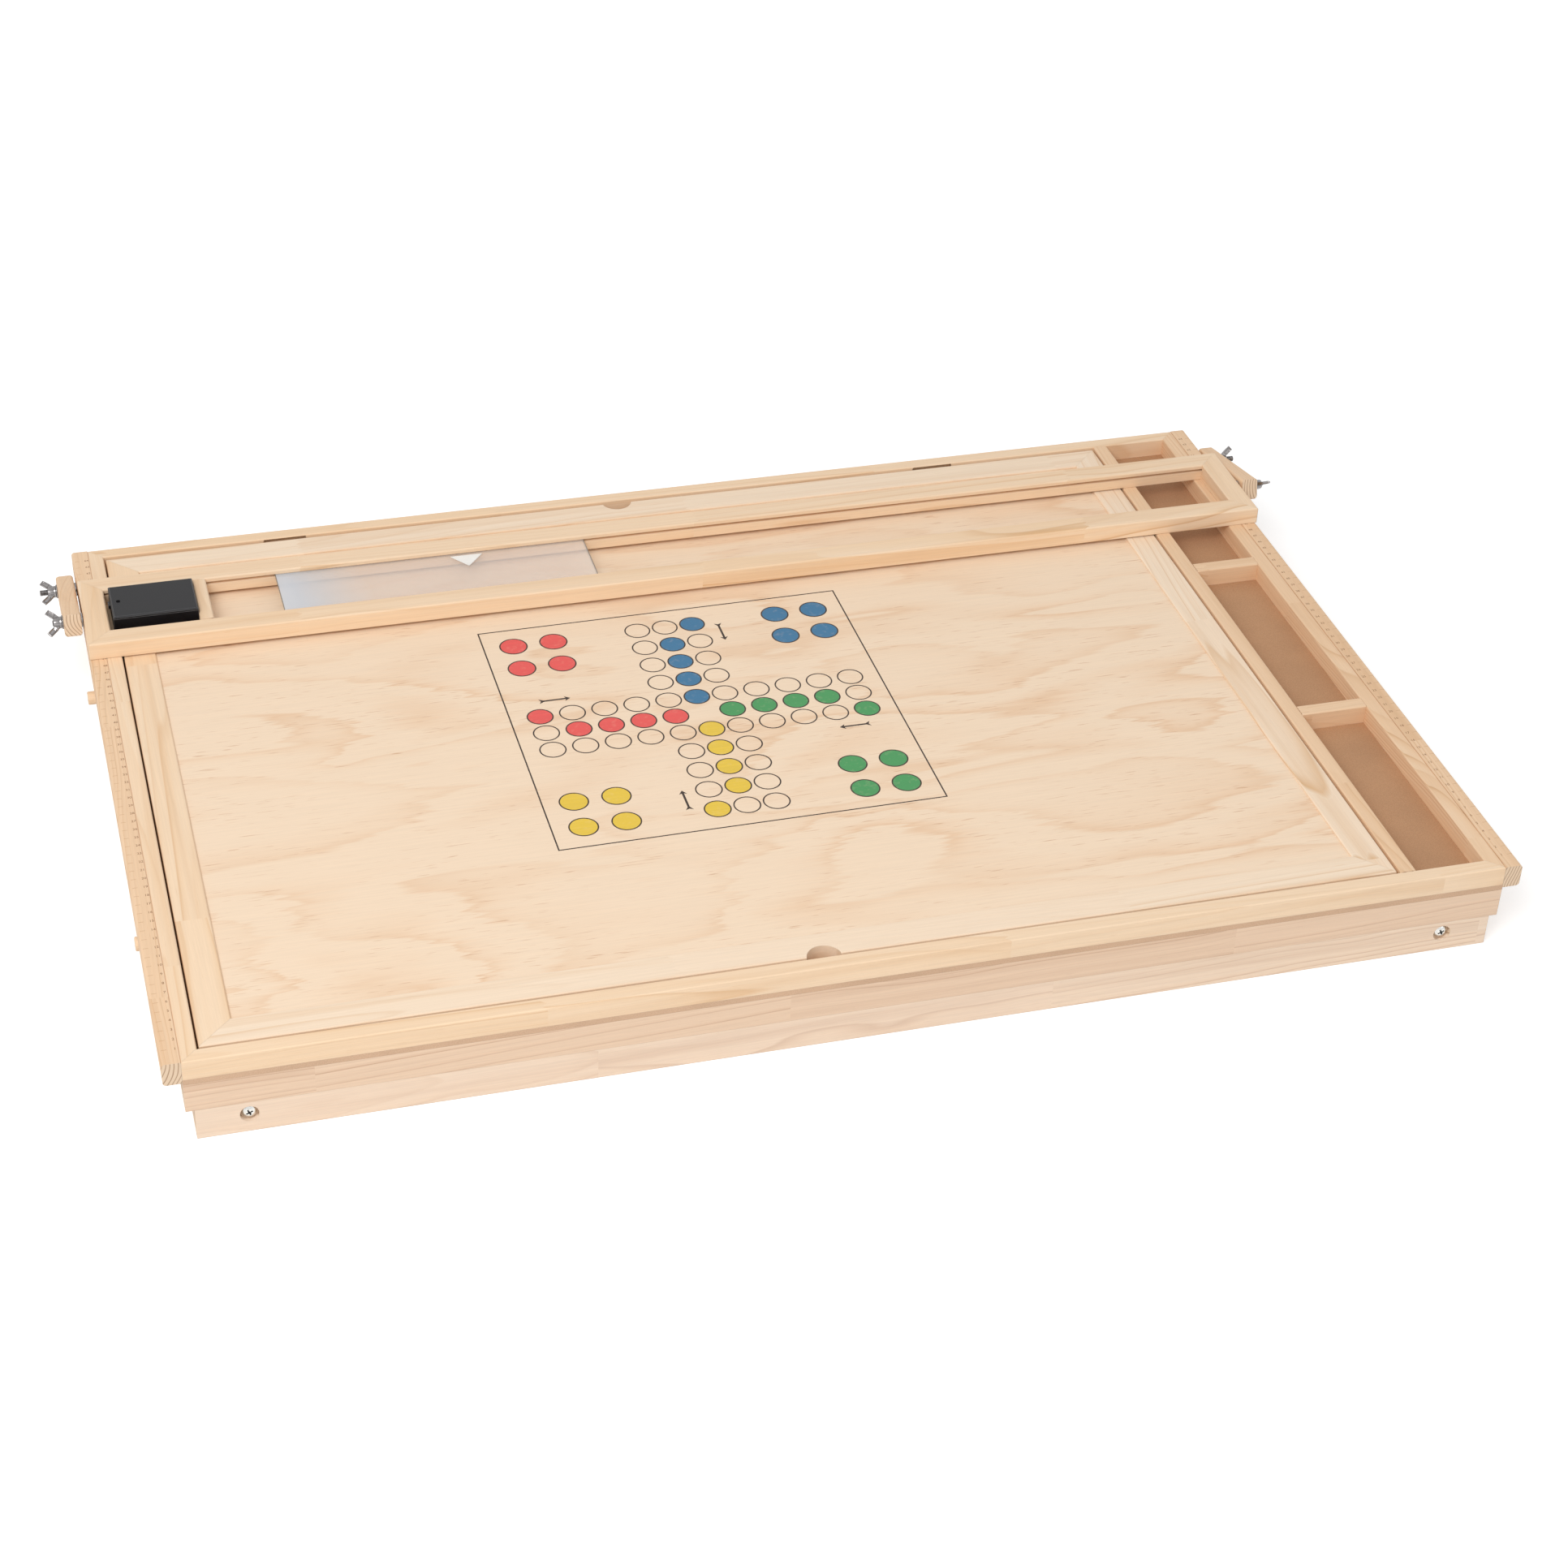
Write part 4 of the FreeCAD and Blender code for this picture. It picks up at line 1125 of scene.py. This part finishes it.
# The pointer's corners and the reach of their rounding, in millimetres.
POINTER = ((-190.5, 240.5), (-163.5, 240.5), (-177.5, 223.5))
POINTER_ROUND = 1.2
POINTER_STEPS = 4
POINTER_FILM = 0.25 * MM
FILM_DARK = srgb(240, 236, 230)
FILM_LIGHT = srgb(250, 247, 242)
FILM_RUBBED = srgb(252, 250, 247)


def pointer():
    """A white film triangle with rounded corners, stuck to the top of the lens."""
    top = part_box("lens")[1].z
    outline = []
    for number, corner in enumerate(POINTER):
        here = Vector(corner)
        before = (Vector(POINTER[number - 1]) - here).normalized() * POINTER_ROUND
        after = (Vector(POINTER[(number + 1) % len(POINTER)]) - here).normalized() * POINTER_ROUND
        for step in range(POINTER_STEPS + 1):
            share = step / POINTER_STEPS
            bent = here + before * (1 - share) ** 2 + after * share ** 2
            outline.append((bent.x * MM, bent.y * MM))
    bm = bmesh.new()
    prism(bm, outline, top, top + POINTER_FILM)
    film = moulded("white_film", FILM_DARK, FILM_LIGHT, 0.3, FILM_RUBBED)
    piece("lens_pointer", to_mesh("lens_pointer", bm), film, "magnifier")


knobs()
ribbed_switch()
pointer()


# Camera, lamps and floor
# The photograph's frame and the camera that fits the table's corners in it.
IMAGE_SIDE = 1932
FOCAL_PIXELS = 3803.0
CENTRE_COLUMN = 875.0
SENSOR_WIDTH = 36.0
CAMERA_PLACE = (-0.5569, -1.9010, 1.4011)
CAMERA_RIGHT = (0.967683, -0.251157, 0.022575)
CAMERA_DOWN = (-0.128276, -0.567350, -0.813424)
CAMERA_FORWARD = (0.217105, 0.784241, -0.581233)
# Place, size and watts of the lamps, which look at the middle of the table.
LAMPS = {
    "key": ((-1.6, -1.9, 2.6), 1.8, 62),
    "fill": ((2.2, -2.4, 1.6), 2.0, 5),
}
FLOOR_HALF = 6.0
FLOOR_DROP = 0.2 * MM
FLOOR_COLOUR = srgb(232, 232, 232)
FLOOR_GLOW = 0.42
FAR_GLOW = 0.75
GLOW_FROM = 1.2
GLOW_TO = 4.0
WORLD_LEVEL = 0.62


def camera():
    data = bpy.data.cameras.new("camera")
    data.sensor_width = SENSOR_WIDTH
    data.lens = SENSOR_WIDTH * FOCAL_PIXELS / IMAGE_SIDE
    data.shift_x = (IMAGE_SIDE / 2 - CENTRE_COLUMN) / IMAGE_SIDE
    made = bpy.data.objects.new("camera", data)
    bpy.context.scene.collection.objects.link(made)
    columns = (Vector(CAMERA_RIGHT), -Vector(CAMERA_DOWN), -Vector(CAMERA_FORWARD))
    made.matrix_world = Matrix.Translation(CAMERA_PLACE) @ Matrix(columns).transposed().to_4x4()
    bpy.context.scene.camera = made


def lamp(name, place, size, watts):
    data = bpy.data.lights.new(name, "AREA")
    data.shape = "SQUARE"
    data.size = size
    data.energy = watts
    made = bpy.data.objects.new(name, data)
    bpy.context.scene.collection.objects.link(made)
    made.location = place
    made.rotation_euler = (-Vector(place)).to_track_quat("-Z", "Y").to_euler()


def seen_directly(shader):
    """1 for rays that show the background itself, in a mirror or through glass too."""
    path = shader.node("LightPath").outputs
    seen = shader.math("MAXIMUM", path["Is Camera Ray"], path["Is Glossy Ray"])
    return shader.math("MAXIMUM", seen, path["Is Transmission Ray"])


def floor():
    """A white floor just under the table, which seems to glow more the further away it is."""
    mesh = bpy.data.meshes.new("floor")
    corners = [(x * FLOOR_HALF, y * FLOOR_HALF, -FLOOR_DROP) for x, y in SQUARE]
    mesh.from_pydata(corners, [], [(0, 1, 2, 3)])
    made = bpy.data.objects.new("floor", mesh)
    bpy.context.scene.collection.objects.link(made)
    shader = new_material("floor_white")
    spread = {
        "Value": shader.vector("LENGTH", shader.place())["Value"],
        "From Min": GLOW_FROM,
        "From Max": GLOW_TO,
        "To Min": FLOOR_GLOW,
        "To Max": FAR_GLOW,
    }
    level = shader.node("MapRange", spread).outputs["Result"]
    glow = shader.math("MULTIPLY", seen_directly(shader), level)
    shine = shader.node("Emission", {"Color": WHITE, "Strength": glow})
    matt = shader.node("BsdfDiffuse", {"Color": FLOOR_COLOUR})
    both = shader.node("AddShader", {0: shine.outputs[0], 1: matt.outputs[0]})
    shader.node("OutputMaterial", {"Surface": both.outputs[0]})
    mesh.materials.append(shader.owner)


def world():
    """White all round, dimmer as a light than as a background."""
    shader = Shader(bpy.data.worlds.new("studio"))
    level = shader.span(seen_directly(shader), WORLD_LEVEL, 1.0)
    sky = shader.node("Background", {"Color": WHITE, "Strength": level})
    shader.node("OutputWorld", {"Surface": sky.outputs[0]})
    bpy.context.scene.world = shader.owner


camera()
for name, settings in LAMPS.items():
    lamp(name, *settings)
floor()
world()
bpy.context.scene.view_settings.view_transform = "Standard"
